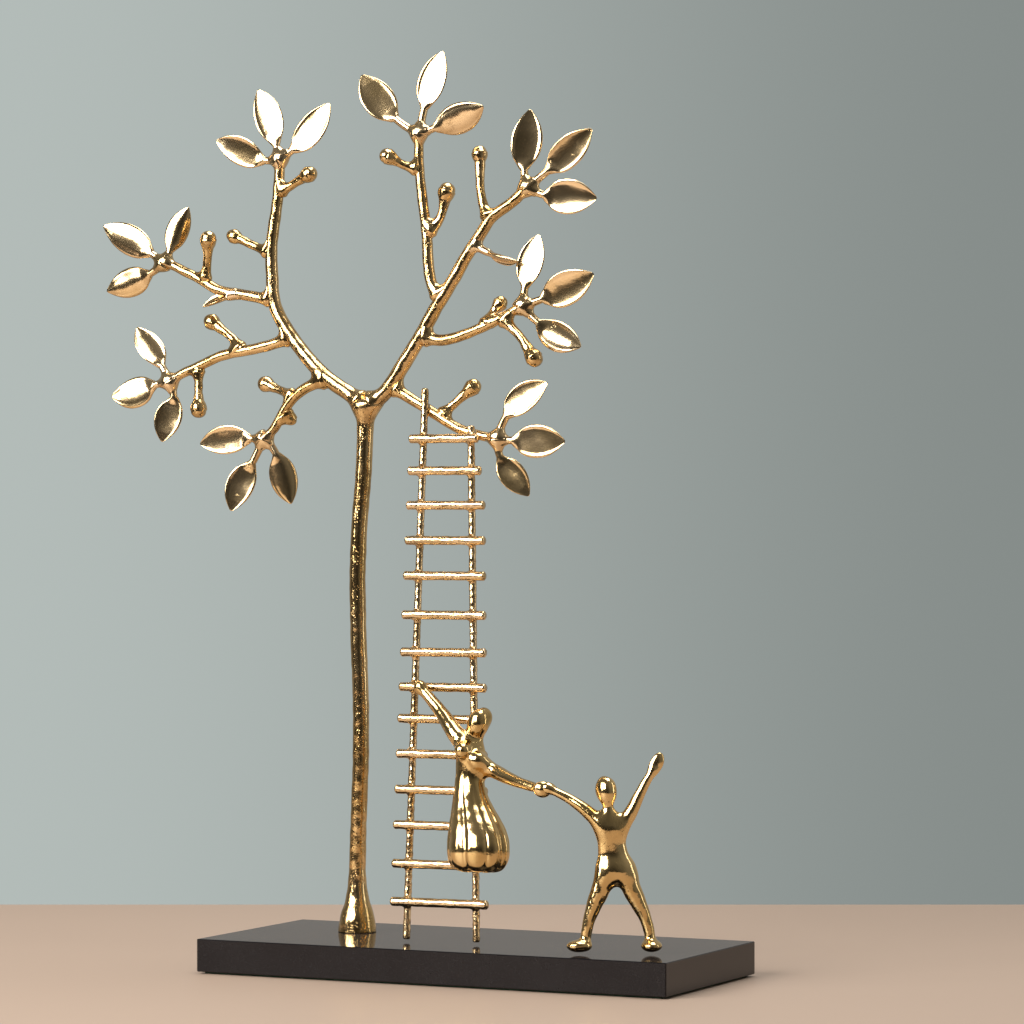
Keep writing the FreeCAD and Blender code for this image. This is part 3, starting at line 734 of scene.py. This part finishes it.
for spray, (parent, leaves) in leaf_sprays.items():
    hub = lines[parent][-1]
    routes = [leaf_line(hub, *leaf[:4], leaf[5], leaf[7]) for leaf in leaves]
    stems = [leaf_stem(*route) for route in routes]
    parts = []
    for number, (route, leaf) in enumerate(zip(routes, leaves)):
        near = [coarse(bars[parent])]
        near += [coarse(s, 3) for n, s in enumerate(stems) if n != number]
        parts.append(closed_rings(leaf_grid(*route, leaf[4], leaf[6], leaf[8], near,
                                            spray_fillet)))
    make_piece(spray + "_spray", parts, leaf_brass, [spray + "_leaves"])

for name, (parent, share, leaf) in folded_leaves.items():
    route = leaf_line(at_share(lines[parent], share), *leaf[:4], leaf[5], leaf[7])
    grid = leaf_grid(*route, leaf[4], leaf[6], leaf[8], [coarse(bars[parent])], folded_fillet)
    make_piece(name + "_casting", [closed_rings(grid)], leaf_brass, [name])

# %% [markdown]
# ## Buds
# A bud is a thin rod with a round head. Rod and head melt into one drop.

# %% Buds
bud_samples, bud_melt, bud_flat, least_radius = 64, 2.4, 0.8, 0.05
# Parent, share of its length, heading, length, head, bow, lean.
buds = {
    "left_crown_bud": ("left_limb", 0.88, 25, 22.0, 7.6, 0, -8),
    "left_limb_bud": ("left_limb", 0.675, 157, 25.0, 6.8, 0, 4),
    "left_high_bud": ("left_high_branch", 0.62, 77, 22.5, 8.0, -0.6, -12),
    "left_mid_upper_bud": ("left_mid_branch", 0.38, 144, 26.5, 7.6, -0.8, 8),
    "left_mid_lower_bud": ("left_mid_branch", 0.75, -85, 22.5, 8.0, 0, -8),
    "left_low_bud": ("left_low_branch", 0.46, 163, 22.5, 7.6, 0.3, 15),
    "left_low_rear_bud": ("left_low_branch", 0.62, -78, 7.0, 5.6, 0, 30),
    "centre_left_bud": ("centre_branch", 0.79, 154, 17.5, 7.6, 0.8, -30),
    "centre_right_bud": ("centre_branch", 0.40, 66, 24.5, 8.2, -2.6, 6),
    "right_limb_bud": ("right_limb", 0.81, 101, 35.0, 7.4, 2.0, 6),
    "right_mid_blunt_bud": ("right_mid_branch", 0.60, 58, 15.5, 6.8, 0, 22),
    "right_mid_lower_bud": ("right_mid_branch", 0.78, -44, 29.0, 8.2, 1.8, -8),
    "right_low_bud": ("right_low_branch", 0.48, 42, 22.5, 7.8, 0, 12),
}


def bud_bar(root, angle, length, head, bow, lean):
    """Bud as a bar: a rod that thickens slightly, then the circle of its head, joined by a
    smooth maximum, so that the neck flows into the head."""
    centre = root + heading(angle, lean) * length
    middle = (root + centre) / 2 + heading(angle + 90, 0) * bow
    reach = centre + heading(angle, lean) * head * 0.5
    line = smooth_line([root, middle, centre, reach], bud_samples)
    far = run_length(line)
    to_head = far - (far[-1] - head / 2)
    rod = np.interp(to_head, [-length, -0.65 * length, -0.4 * length, -0.6 * head, 0],
                    [3.0, 2.2, 2.15, 0.36 * head, 0.44 * head])
    flat = to_head * np.where(to_head > 0, 1.0, bud_flat)
    ball = np.sqrt(np.maximum((head / 2) ** 2 - flat ** 2, 0))
    radius = np.where(to_head > 0, ball, -melt(-rod, -ball, bud_melt))
    radius[to_head > 0] = np.minimum(radius[to_head > 0], radius[to_head <= 0][-1])
    return line, np.maximum(radius, least_radius)


for name, (parent, share, *values) in buds.items():
    own = bud_bar(at_share(lines[parent], share), *values)
    first = root_station(own, [bars[parent]], root_depths["bud"])
    grid = swept_grid(own, [coarse(bars[parent])], "bud", first, root_fade)
    make_piece(name + "_casting", [closed_rings(grid)], branch_brass, [name])

# %% [markdown]
# ## Ladder
# Two rails and fourteen rungs, cut from rod with rough ends. Each rung lies on the front of both
# rails and is brazed there, so every crossing has a small fillet. The rails lean on the branch.

# %% Ladder sizes
ladder_foot_left, ladder_foot_right = (-26.4, -21.7), (10.5, -19.8)
rail_diameter, rung_diameter, rail_bite = 3.6, 4.4, 0.4
rail_over_left, rail_over_right = 10.5, 4.0
rail_share_left, rail_share_right = 0.37, 0.805
rung_count, rung_bite = 14, 1.2
left_overhang, right_overhang = (7.5, 6.0), (7.5, 8.2)
bottom_rung_rise, top_rung_drop = 18.3, 2.3
rung_lift = (0.0, 1.0, 2.4, 2.2, 2.2, 1.9, 0.0, -0.4, 0.4, 2.2, 2.1, 2.0, 1.6, 0.0)
short_right_overhang = {13: 6.3, 14: 5.0}
rung_samples, rail_samples = 70, 420
rung_end_round, rail_end_round = 0.7, 0.6

# %% Rails and rungs


def rail_ends(foot, share, over):
    """Foot and top of a rail that leans on the front of the low right branch."""
    low = np.array([foot[0], foot[1], foot_level])
    at_branch = at_share(lines["right_low_branch"], share)
    size = branch_diameters[0] + (branch_diameters[1] - branch_diameters[0]) * share
    rest = at_branch - np.array([0, (size + rail_diameter) / 2 - rail_bite, 0])
    along = (rest - low) / np.linalg.norm(rest - low)
    return low, rest + along * over


def at_height(ends, height):
    """Point of a straight rail at a height."""
    low, top = ends
    return low + (top - low) * ((height - low[2]) / (top[2] - low[2]))


def rung_axis(number):
    """Ends of a rung's centreline, in front of both rails and past each by its overhang."""
    lowest = left_rail[0][2] + bottom_rung_rise
    highest = right_rail[1][2] - rail_over_right - top_rung_drop
    share = (number - 1) / (rung_count - 1)
    height = lowest + (highest - lowest) * share + rung_lift[number - 1]
    a, b = at_height(left_rail, height), at_height(right_rail, height)
    forward = np.array([0, (rail_diameter + rung_diameter) / 2 - rung_bite, 0])
    along = (b - a) / np.linalg.norm(b - a)
    left_over = np.interp(share, [0, 1], left_overhang)
    right_over = short_right_overhang.get(number, np.interp(share, [0, 1], right_overhang))
    return a - forward - along * left_over, b - forward + along * right_over


left_rail = rail_ends(ladder_foot_left, rail_share_left, rail_over_left)
right_rail = rail_ends(ladder_foot_right, rail_share_right, rail_over_right)
rung_axes = {n: rung_axis(n) for n in range(1, rung_count + 1)}


def straight_bar(low, top, diameter, count):
    """Straight round bar with sampled centreline."""
    path = low + (top - low) * np.linspace(0, 1, count)[:, None]
    return path, np.full(count, diameter / 2)


def eased_ends(bar, ease):
    """The bar with its radius drawn in over the last part at both ends, as a quarter circle."""
    path, radius = bar
    far = run_length(path)
    near = np.minimum(far, far[-1] - far)
    t = np.clip(1 - near / ease, 0, 1)
    return path, radius - ease * (1 - np.sqrt(np.maximum(1 - t * t, 0)))


rung_bars = {n: straight_bar(a, b, rung_diameter, rung_samples)
             for n, (a, b) in rung_axes.items()}
rail_bars = {"ladder_rail_left": straight_bar(*left_rail, rail_diameter, rail_samples),
             "ladder_rail_right": straight_bar(*right_rail, rail_diameter, rail_samples)}
for name, bar in rail_bars.items():
    near = [coarse(b, rung_samples // 3) for b in rung_bars.values()]
    near.append(coarse(bars["right_low_branch"]))
    grid = swept_grid(eased_ends(bar, rail_end_round), near, "rail")
    make_piece(name + "_bar", [closed_rings(grid)], ladder_brass, [name])
for number, bar in rung_bars.items():
    near = [coarse(b, rail_samples - 1) for b in rail_bars.values()]
    grid = swept_grid(eased_ends(bar, rung_end_round), near, "rung")
    node = "rung_{:02d}".format(number)
    make_piece(node + "_bar", [closed_rings(grid)], ladder_brass, [node])

# %% [markdown]
# ## Figures
# Both figures are polished like the leaves. Their arms, legs and heads flow into the body
# without an edge, as wax does when warm pieces are pressed together. So a figure is a list of
# simple parts, each with a surface and a distance function. A voxel remesh turns the
# surfaces into one rough skin. Then every vertex walks down the slope of the smooth minimum of
# all distances until it lies on the true skin. The heads are plain ovals without a face.

# %% Parts of a figure
figure_ripple = (0.10, 9.0)


def oval(centre, half, axes=np.eye(3)):
    """Ellipsoid with half sizes along three axes. Its distance, near the skin, is k (k - 1) / g
    with k the length of q over the half sizes and g that of q over their squares."""
    centre, half, axes = (np.asarray(v, float) for v in (centre, half, axes))
    rings, sides = 28, 36
    lat = np.linspace(-math.pi / 2, math.pi / 2, rings + 2)[1:-1, None]
    lon = ring_angles(sides)[None, :]
    unit = np.stack([np.cos(lat) * np.cos(lon), np.cos(lat) * np.sin(lon),
                     np.sin(lat) * np.ones_like(lon)], -1)
    pole = axes[2] * half[2]

    def distance(q):
        local = (q - centre) @ axes.T
        k = np.linalg.norm(local / half, axis=1)
        return k * (k - 1) / np.maximum(np.linalg.norm(local / half ** 2, axis=1), 1e-6)

    return closed_rings((unit * half) @ axes + centre, centre - pole, centre + pole), distance


def limb(points, diameters):
    """Round tapering bar through a few points, domed at its far end, and its distance."""
    samples = 40
    along = np.linspace(0, 1, len(diameters))
    bar = (smooth_line(points, samples),
           np.interp(np.linspace(0, 1, samples), along, diameters) / 2)
    grid, pole = domed(swept_grid(bar, [], "plain"), bar)
    rough = coarse(bar, 3)
    return closed_rings(grid, None, pole), lambda q: bar_distance(q, rough)


def near_only(surface, distance):
    """The distance, worked out only in a box round its surface, and large outside it."""
    margin, outside = 9.0, 50.0
    low, high = surface[0].min(axis=0) - margin, surface[0].max(axis=0) + margin

    def limited(q):
        inside = np.all((q > low) & (q < high), axis=1)
        result = np.full(len(q), outside)
        result[inside] = distance(q[inside])
        return result

    return limited


def eased_rows(rows, window):
    """Rows of numbers at quarter steps of their first column, with corners rounded by a moving
    average that is taken three times."""
    rows = np.array(sorted(rows))
    steps = np.arange(rows[0, 0], rows[-1, 0], 0.25)
    columns = [np.interp(steps, rows[:, 0], column) for column in rows.T[1:]]
    for _ in range(3):
        columns = [averaged(column, window, mode="reflect", reflect_type="odd")
                   for column in columns]
    return steps, columns


def ellipse_rings(centres, wide, deep, axes, sides):
    """Level rings round the centres: (wide cos v, deep sin v) over two along the first two
    axes."""
    angle = ring_angles(sides)
    flat = (wide[:, None] / 2 * np.cos(angle))[..., None] * axes[0] + (
        deep[:, None] / 2 * np.sin(angle))[..., None] * axes[1]
    return closed_rings(centres[:, None, :] + flat)


def one_skin(piece, parts, voxel):
    """Voxel remesh, then the walk onto the smooth minimum of the parts' distances: each step is
    the value over the length of its slope, against the slope."""
    remesh = piece.modifiers.new("one_skin", "REMESH")
    remesh.mode = "VOXEL"
    remesh.voxel_size = voxel * MM
    bpy.context.view_layer.update()
    shaped = piece.evaluated_get(bpy.context.evaluated_depsgraph_get())
    mesh = bpy.data.meshes.new_from_object(shaped)
    piece.modifiers.clear()
    piece.data = mesh
    q = np.empty(len(mesh.vertices) * 3)
    mesh.vertices.foreach_get("co", q)
    q = q.reshape(-1, 3) / MM
    fields = [(near_only(surface, distance), fillet) for surface, distance, fillet in parts]

    def height(at):
        total = fields[0][0](at)
        for distance, fillet in fields[1:]:
            total = melt(total, distance(at), fillet)
        return total

    probe, longest_step = 0.02, 1.2
    for _ in range(6):
        value = height(q)
        slope = np.stack([(height(q + probe * axis) - value) / probe for axis in np.eye(3)], -1)
        length = np.maximum(np.linalg.norm(slope, axis=1), 0.3)
        step = np.clip(0.85 * value / length, -longest_step, longest_step)
        q = q - slope * (step / length)[:, None]
    q = q + (slope / length[:, None]) * ripple(q, *figure_ripple)[:, None]
    mesh.vertices.foreach_set("co", (q * MM).ravel())
    mesh.polygons.foreach_set("use_smooth", [True] * len(mesh.polygons))
    mesh.update()
    print(piece.name, "is one skin of", len(mesh.polygons), "faces")


def cast_figure(name, parts, voxel, nodes):
    """One casting from parts, each a surface with its distance and a fillet."""
    piece = make_piece(name, [surface for surface, _, _ in parts], figure_brass,
                       nodes)
    one_skin(piece, parts, voxel)


# %% Woman: sizes and places
woman_rung, woman_x, woman_bite, woman_hand_inset = 7, 8.5, 1.0, 5.5
woman_turn = 25.0
# Drop below the held rung, shift, width and depth of the body.
woman_sections = ((89.0, 8.4, 25.0, 17.5), (84.0, 9.0, 28.6, 20.5), (79.0, 9.2, 30.6, 22.5),
                  (74.0, 9.2, 31.0, 23.0), (67.0, 7.8, 28.6, 21.0), (61.0, 5.4, 24.0, 18.0),
                  (53.0, 2.0, 17.8, 14.4), (46.0, 0.3, 14.8, 12.0), (41.0, -0.2, 13.6, 11.0),
                  (35.0, 0.4, 15.0, 12.0), (30.0, -0.2, 14.4, 11.0), (26.5, -0.4, 11.6, 8.8),
                  (23.0, 1.2, 6.6, 6.2), (16.0, 2.6, 5.4, 5.4))
skirt_folds, fold_depth = 9, 0.21


def front_of_rungs(height):
    """Y of the rungs' foremost line at a height."""
    low, high = rung_axes[1][0], rung_axes[rung_count][0]
    share = (height - low[2]) / (high[2] - low[2])
    return low[1] + (high[1] - low[1]) * share - rung_diameter / 2


def woman_point(shift, drop, deep):
    """Point on the woman's centreline, half the body's depth in front of the rungs."""
    height = rung_axes[woman_rung][0][2] - drop
    return np.array([woman_x + shift, front_of_rungs(height) + woman_bite - deep / 2, height])


def turned_axes(turn, tilt=0.0):
    """Axes of a part turned about the vertical, then tilted sideways, as rows of a matrix."""
    c, s = math.cos(math.radians(turn)), math.sin(math.radians(turn))
    ct, st = math.cos(math.radians(tilt)), math.sin(math.radians(tilt))
    across, rear = np.array([c, s, 0]), np.array([-s, c, 0])
    up = np.array([0, 0, 1.0])
    return np.stack([across * ct - up * st, rear, up * ct + across * st])


def on_woman(side, drop, out, deep=12.5, shift=0.4):
    """Point beside and in front of the body's middle, in the direction the figure faces."""
    axes = turned_axes(woman_turn)
    return woman_point(shift, drop, deep) + axes[0] * side - axes[1] * out


# %% Woman: body with a folded skirt
drops, (woman_shift, woman_wide, woman_deep) = eased_rows(woman_sections, 25)
woman_top, woman_hem = 18.0, 86.8


def body_distance(q):
    """Distance to the body: along the radius of an ellipse, r (1 - (1 + fold) / k), where k is
    the length of the point over the half sizes. The fold is a row of half circles round the
    skirt, sharp between and round outside. Smooth maxima close it at the hem and the neck."""
    drop = rung_axes[woman_rung][0][2] - q[:, 2]
    shift, wide, deep = [np.interp(drop, drops, v) for v in (woman_shift, woman_wide, woman_deep)]
    x = q[:, 0] - woman_x - shift
    y = q[:, 1] - front_of_rungs(q[:, 2]) - woman_bite + deep / 2
    k = np.maximum(np.hypot(x / (wide / 2), y / (deep / 2)), 1e-3)
    angle = np.arctan2(y / deep, x / wide)
    share = np.clip((drop - 42) / 26, 0, 1)
    turn = (angle + 0.35 + 0.12 * np.sin(2 * angle + 0.6)) * skirt_folds / (2 * math.pi)
    across = 2 * (turn - np.floor(turn)) - 1
    bulge = np.sqrt(1.02 - across ** 2) - 0.72
    amount = fold_depth * (share * (2 - share)) * (0.75 + 0.25 * np.sin(3 * angle + 1.0))
    side = np.hypot(x, y) * (1 - (1 + amount * bulge) / k)
    hem = woman_hem + 0.7 * bulge
    low = -melt(-side, -(drop - hem), 6.0)
    return -melt(-low, -(woman_top - drop), 2.0)


def body_surface():
    """A plain start for the body: ellipses at even drops."""
    drop = np.linspace(woman_hem - 1.5, woman_top + 1.0, 130)
    wide, deep, shift = [np.interp(drop, drops, v) for v in (woman_wide, woman_deep, woman_shift)]
    centres = np.stack([woman_point(s, d, p) for s, d, p in zip(shift, drop, deep)])
    return ellipse_rings(centres, wide, deep, np.eye(3), 72)


# %% Child's frame and the joined hands
child_place, child_turn = (87.0, -28.0, foot_level), 28.0
child_held_hand = (-31.5, 8.0, 76.8)
woman_held_hand_step = np.array([-2.2, 0.0, -0.9])


def child_world(points):
    """Points of the child's own frame, turned about the vertical and set on the slab."""
    p = np.atleast_2d(np.asarray(points, float))
    return p @ turned_axes(child_turn) + child_place


joined_hand = child_world(child_held_hand)[0] + woman_held_hand_step
grip_low, grip_high = rung_axes[woman_rung]
across_rung = (grip_high - grip_low) / np.linalg.norm(grip_high - grip_low)
grip = grip_low + across_rung * (left_overhang[0] + woman_hand_inset)
grip = grip - np.array([0, (rung_diameter + 6.2) / 2 - woman_bite, 0])
print("joined hands at", joined_hand.round(1), "grip at", grip.round(1))

# %% Woman: all parts
head = on_woman(2.9, 16.4, 0.5)
right_shoulder = on_woman(-3.4, 27.0, 0.5)
left_shoulder = on_woman(5.2, 36.4, 1.0)
arm_middle = (right_shoulder + grip) / 2 + [0.6, 0.4, 0.3]
reach_middle = (left_shoulder + joined_hand) / 2 - [0, 0, 1.2]
facing = turned_axes(woman_turn)
woman_parts = [
    (body_surface(), body_distance, 0.0),
    (*oval(head, (5.3, 5.3, 7.0), turned_axes(woman_turn, 14)), 2.4),
    (*oval(on_woman(4.6, 14.8, -1.2), (4.7, 4.8, 6.0), turned_axes(woman_turn, 20)), 0.8),
    (*oval(on_woman(-4.1, 29.4, 5.6), (3.7, 3.4, 3.8), facing), 1.8),
    (*oval(on_woman(3.6, 34.0, 5.6), (4.2, 3.4, 4.0), facing), 1.8),
    (*limb([on_woman(0.0, 30.5, 0.0), right_shoulder, arm_middle, grip], (9.0, 8.2, 6.2, 4.6)),
     4.0),
    (*oval(grip, (3.1, 2.8, 3.3)), 2.0),
    (*limb([on_woman(1.5, 35.0, 0.5), left_shoulder, reach_middle, joined_hand],
           (7.2, 7.0, 5.2, 4.2)), 5.5),
    (*oval(joined_hand, (4.4, 2.4, 3.9), facing), 1.6),
]
cast_figure("woman_casting", woman_parts, 0.42, ["woman_body", "woman_right_arm",
                                                 "woman_left_arm"])

# %% Child
# Height, shift, width and depth of the torso.
child_sections = ((30.0, 1.0, 13.0, 7.6), (36.0, 1.2, 18.4, 8.8), (41.0, 0.6, 17.0, 8.6),
                  (48.0, -0.8, 13.4, 8.0), (55.0, -1.6, 13.4, 8.2), (60.0, -2.0, 14.6, 8.2),
                  (63.5, -2.2, 12.0, 7.4), (67.0, -2.6, 4.6, 4.6), (74.0, -3.2, 3.6, 3.8))
child_rows, (child_shift, child_wide, child_deep) = eased_rows(child_sections, 15)
child_low, child_top = 33.0, 71.0
child_raised_arm = [(2.0, 0, 57.5), (5.6, 0, 62.0), (12.6, 0, 75.4), (18.4, 0, 85.6)]
child_held_arm = [(-4.0, 0, 57.5), (-8.0, 0.6, 61.6), (-20.0, 4.6, 71.2), child_held_hand]
child_left_leg = [(4.4, 0, 38.0), (10.6, 0, 24.5), (16.2, 0, 11.0), (17.2, 0, 4.0)]
child_right_leg = [(-2.8, 0, 38.0), (-8.6, 0, 24.0), (-12.8, 0, 11.0), (-13.6, 0, 4.0)]


def torso_distance(q):
    """Distance to the torso, along the radius of an ellipse, closed by smooth maxima."""
    local = (q - child_place) @ turned_axes(child_turn).T
    up = local[:, 2]
    shift, wide, deep = [np.interp(up, child_rows, v)
                         for v in (child_shift, child_wide, child_deep)]
    x, y = local[:, 0] - shift, local[:, 1]
    k = np.maximum(np.hypot(x / (wide / 2), y / (deep / 2)), 1e-3)
    side = np.hypot(x, y) * (1 - 1 / k)
    low = -melt(-side, -(child_low - up), 5.0)
    return -melt(-low, -(up - child_top), 1.0)


def torso_surface():
    """A plain start for the torso: ellipses at even heights."""
    up = np.linspace(child_low + 0.5, child_top - 0.5, 80)
    shift, wide, deep = [np.interp(up, child_rows, v)
                         for v in (child_shift, child_wide, child_deep)]
    centres = child_world(np.stack([shift, 0 * up, up], -1))
    return ellipse_rings(centres, wide, deep, turned_axes(child_turn), 60)


def child_oval(centre, half, tilt=0.0):
    """Ellipsoid given in the child's own frame."""
    return oval(child_world(centre)[0], half, turned_axes(child_turn, tilt))


def child_limb(points, diameters):
    """Bar given in the child's own frame."""
    return limb(child_world(points), diameters)


child_parts = [
    (torso_surface(), torso_distance, 0.0),
    (*child_oval((-3.3, 0, 75.4), (4.6, 4.6, 6.9)), 1.6),
    (*child_oval((-4.6, 1.2, 76.6), (4.3, 4.2, 6.2)), 0.8),
    (*child_limb(child_raised_arm, (7.4, 6.4, 4.8, 3.8)), 4.5),
    (*child_limb(child_held_arm, (7.4, 6.4, 4.6, 3.8)), 4.5),
    (*child_oval((19.9, 0, 88.4), (3.2, 1.6, 5.8), 24.0), 2.0),
    (*child_oval(np.add(child_held_hand, (0.8, 0.4, -0.4)), (3.2, 2.4, 2.6)), 2.0),
    (*child_limb(child_left_leg, (9.8, 8.8, 5.8, 4.8)), 5.0),
    (*child_limb(child_right_leg, (9.8, 8.8, 5.8, 4.8)), 5.0),
    (*child_oval((17.6, -1.8, 2.7), (5.0, 5.6, 2.9)), 2.4),
    (*child_oval((-16.6, -0.8, 2.7), (5.9, 4.6, 3.0)), 2.4),
]
cast_figure("child_casting", child_parts, 0.40, ["child"])

# %% [markdown]
# ## Stone, felt and fixings
# The slab is black granite, sawn and polished: nearly black, with fine grey crystals, and glossy
# enough to mirror the feet of the ladder. Its CAD shape is right and stays. So do the felt, the
# stud, the washer and the nut under the trunk, which only need their finish.

# %% Stone


def make_stone():
    """Polished granite: near black with tiny lighter crystals, glossy, and with a thin film of
    wax and dust, a warm sheen, that shows only at a flat angle."""
    material, tree, shader, where = new_material(
        "black_granite", Specular_Tint=(0.42, 0.36, 0.33), Sheen_Weight=0.35,
        Sheen_Roughness=0.15, Sheen_Tint=(1.0, 0.72, 0.56))
    grain = remap(tree, noise(tree, where, 1800.0, 2.0), 0.62, 0.78)
    cloud = remap(tree, noise(tree, where, 40.0, 4.0), 0.3, 0.7)
    colour = colour_mix(tree, cloud, (0.003, 0.003, 0.004), (0.006, 0.006, 0.007))
    colour = colour_mix(tree, grain, colour, (0.03, 0.03, 0.032))
    tree.links.new(colour, shader.inputs["Base Color"])
    tree.links.new(remap(tree, noise(tree, where, 300.0, 3.0), 0.3, 0.7, 0.05, 0.12),
                   shader.inputs["Roughness"])
    return material


def make_felt():
    """Wool felt: dark green fibres, rough and slightly fuzzy."""
    material, tree, shader, where = new_material("green_felt", Roughness=0.95, Sheen_Weight=0.3)
    fibre = noise(tree, where, 2500.0, 4.0, 0.7)
    tree.links.new(colour_mix(tree, fibre, (0.015, 0.05, 0.03), (0.05, 0.12, 0.07)),
                   shader.inputs["Base Color"])
    raised = bump(tree, fibre, 1.0, 0.0003)
    tree.links.new(raised.outputs["Normal"], shader.inputs["Normal"])
    return material


def make_zinc():
    """Zinc-plated steel with a mottled, slightly rough skin."""
    material, tree, shader, where = new_material("zinc_plate", Metallic=1.0)
    spangle = noise(tree, where, 800.0, 3.0)
    tree.links.new(colour_mix(tree, spangle, (0.5, 0.51, 0.53), (0.68, 0.69, 0.7)),
                   shader.inputs["Base Color"])
    tree.links.new(remap(tree, spangle, 0.3, 0.7, 0.25, 0.45), shader.inputs["Roughness"])
    return material


finishes = {"base_slab": make_stone(), "felt_sheet": make_felt(),
            **dict.fromkeys(("trunk_stud", "trunk_washer", "trunk_nut"), make_zinc())}
for name, finish in finishes.items():
    for slot_on_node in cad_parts[name].material_slots:
        slot_on_node.material = finish
print("finishes on", sorted(finishes))

# %% [markdown]
# ## Studio
# A plain table stands before a pale wall, which is the world itself. Light comes from a large
# window high on the left, a tall strip beside it, a softbox overhead and a weak strip on the
# right. The dim room between them gives the metal its dark reflections, without which brass
# looks like yellow paint.

# %% Table


def make_paint(colour):
    """Matt paint with a faint unevenness."""
    material, tree, shader, where = new_material("pale_table", Roughness=0.5)
    darker = tuple(0.94 * c for c in colour)
    tree.links.new(colour_mix(tree, noise(tree, where, 2.0, 3.0), colour, darker),
                   shader.inputs["Base Color"])
    return material


view_turn = math.radians(25.66)
away_from_camera = (-math.sin(view_turn), math.cos(view_turn), 0.0)
right_of_camera = (math.cos(view_turn), math.sin(view_turn), 0.0)


def seen_from_camera(right, away, up):
    """Place given as right, away and up as seen along the camera's azimuth."""
    return tuple(right * r + away * a + up * u for r, a, u in
                 zip(right_of_camera, away_from_camera, (0, 0, 1)))


table_back, table_front, table_side = 0.36, -0.6, 1.0
table_mesh = bpy.data.meshes.new("floor")
table_mesh.from_pydata([seen_from_camera(right, away, 0) for right, away in (
    (-table_side, table_front), (table_side, table_front), (table_side, table_back),
    (-table_side, table_back))], [], [(0, 1, 2, 3)])
table_mesh.materials.append(make_paint((0.385, 0.285, 0.215)))
table = bpy.data.objects.new("floor", table_mesh)
bpy.context.scene.collection.objects.link(table)
print("table", [tuple(round(c, 2) for c in v.co) for v in table_mesh.vertices])

# %% Lights and world


def softbox(name, place, width, height, power, colour):
    """Rectangular area light that faces the middle of the object."""
    data = bpy.data.lights.new(name, "AREA")
    data.shape = "RECTANGLE"
    data.size, data.size_y = width, height
    data.energy = power
    data.color = colour
    lamp = bpy.data.objects.new(name, data)
    bpy.context.scene.collection.objects.link(lamp)
    here = np.array(place)
    z = here - np.array(middle)
    z = z / np.linalg.norm(z)
    x = np.cross([0, 0, 1], z)
    x = x / np.linalg.norm(x)
    lamp.matrix_world = Matrix([(*row, at) for row, at in zip(
        np.stack([x, np.cross(z, x), z], -1), here)] + [(0, 0, 0, 1)])


middle = (-0.02, 0.0, 0.22)
# Place as right, away and up, width, height, watts, colour.
for name, place, *values in (
        ("key", (-1.5, -0.55, 0.80), 0.32, 1.1, 12, (1.0, 0.97, 0.93)),
        ("window", (-1.15, -1.15, 1.05), 1.0, 1.0, 50, (1.0, 0.98, 0.96)),
        ("top", (0.2, 0.1, 1.5), 1.1, 0.7, 16, (1.0, 1.0, 1.0)),
        ("side", (1.5, -0.2, 0.6), 0.2, 1.2, 2, (1.0, 0.97, 0.92))):
    softbox(name, seen_from_camera(*place), *values)


def direction_share(tree, vector, towards, low, high, to_low, to_high):
    """How far a direction points towards another, mapped from low..high to to_low..to_high."""
    dot = tree.nodes.new("ShaderNodeVectorMath")
    dot.operation = "DOT_PRODUCT"
    tree.links.new(vector, dot.inputs[0])
    dot.inputs[1].default_value = towards
    result = remap(tree, dot.outputs["Value"], low, high, to_low, to_high)
    result.node.interpolation_type = "SMOOTHSTEP"
    return result


def make_room():
    """World: seen directly it is the pale wall, with painted light that makes it lighter on the
    left and dimmer on the right. In reflections it is a dim warm room behind the camera and a paler
    wall behind the object and to the right."""
    world = bpy.data.worlds.new("room")
    world.use_nodes = True
    tree = world.node_tree
    where = tree.nodes.new("ShaderNodeTexCoord").outputs["Generated"]
    # Painted light: the wall seen directly is brighter on the left and dimmer on the right, a
    # gradient in its strength.
    wall = direction_share(tree, where, right_of_camera, -0.14, 0.14, 1.0, 0.52)
    behind = direction_share(tree, where, away_from_camera, -0.2, 0.95, 0.03, 0.28)
    right = direction_share(tree, where, right_of_camera, 0.05, 0.7, 0.0, 0.14)
    above = direction_share(tree, where, (0, 0, 1), 0.0, 0.9, 0.0, 0.12)
    level = math_node(tree, "ADD", math_node(tree, "ADD", behind, right), above)
    seen = tree.nodes.new("ShaderNodeBackground")
    seen.inputs["Color"].default_value = (0.455, 0.505, 0.485, 1.0)
    tree.links.new(wall, seen.inputs["Strength"])
    mirrored = tree.nodes.new("ShaderNodeBackground")
    mirrored.inputs["Color"].default_value = (1.0, 0.97, 0.90, 1.0)
    tree.links.new(level, mirrored.inputs["Strength"])
    mix = tree.nodes.new("ShaderNodeMixShader")
    tree.links.new(tree.nodes.new("ShaderNodeLightPath").outputs["Is Camera Ray"],
                   mix.inputs["Fac"])
    tree.links.new(mirrored.outputs[0], mix.inputs[1])
    tree.links.new(seen.outputs[0], mix.inputs[2])
    tree.links.new(mix.outputs[0], tree.nodes["World Output"].inputs["Surface"])
    return world


bpy.context.scene.world = make_room()
bpy.context.scene.view_settings.view_transform = "Standard"

# %% Camera
camera_place, camera_tilt, camera_lens = (0.8989, -1.8295, 0.2284), math.radians(89.92), 147.1
camera_data = bpy.data.cameras.new("camera")
camera_data.lens = camera_lens
camera_data.sensor_width = 36.0
camera = bpy.data.objects.new("camera", camera_data)
camera.location = camera_place
camera.rotation_euler = (camera_tilt, 0.0, view_turn)
print("camera at", camera_place, "lens", camera_lens)
bpy.context.scene.collection.objects.link(camera)
bpy.context.scene.camera = camera
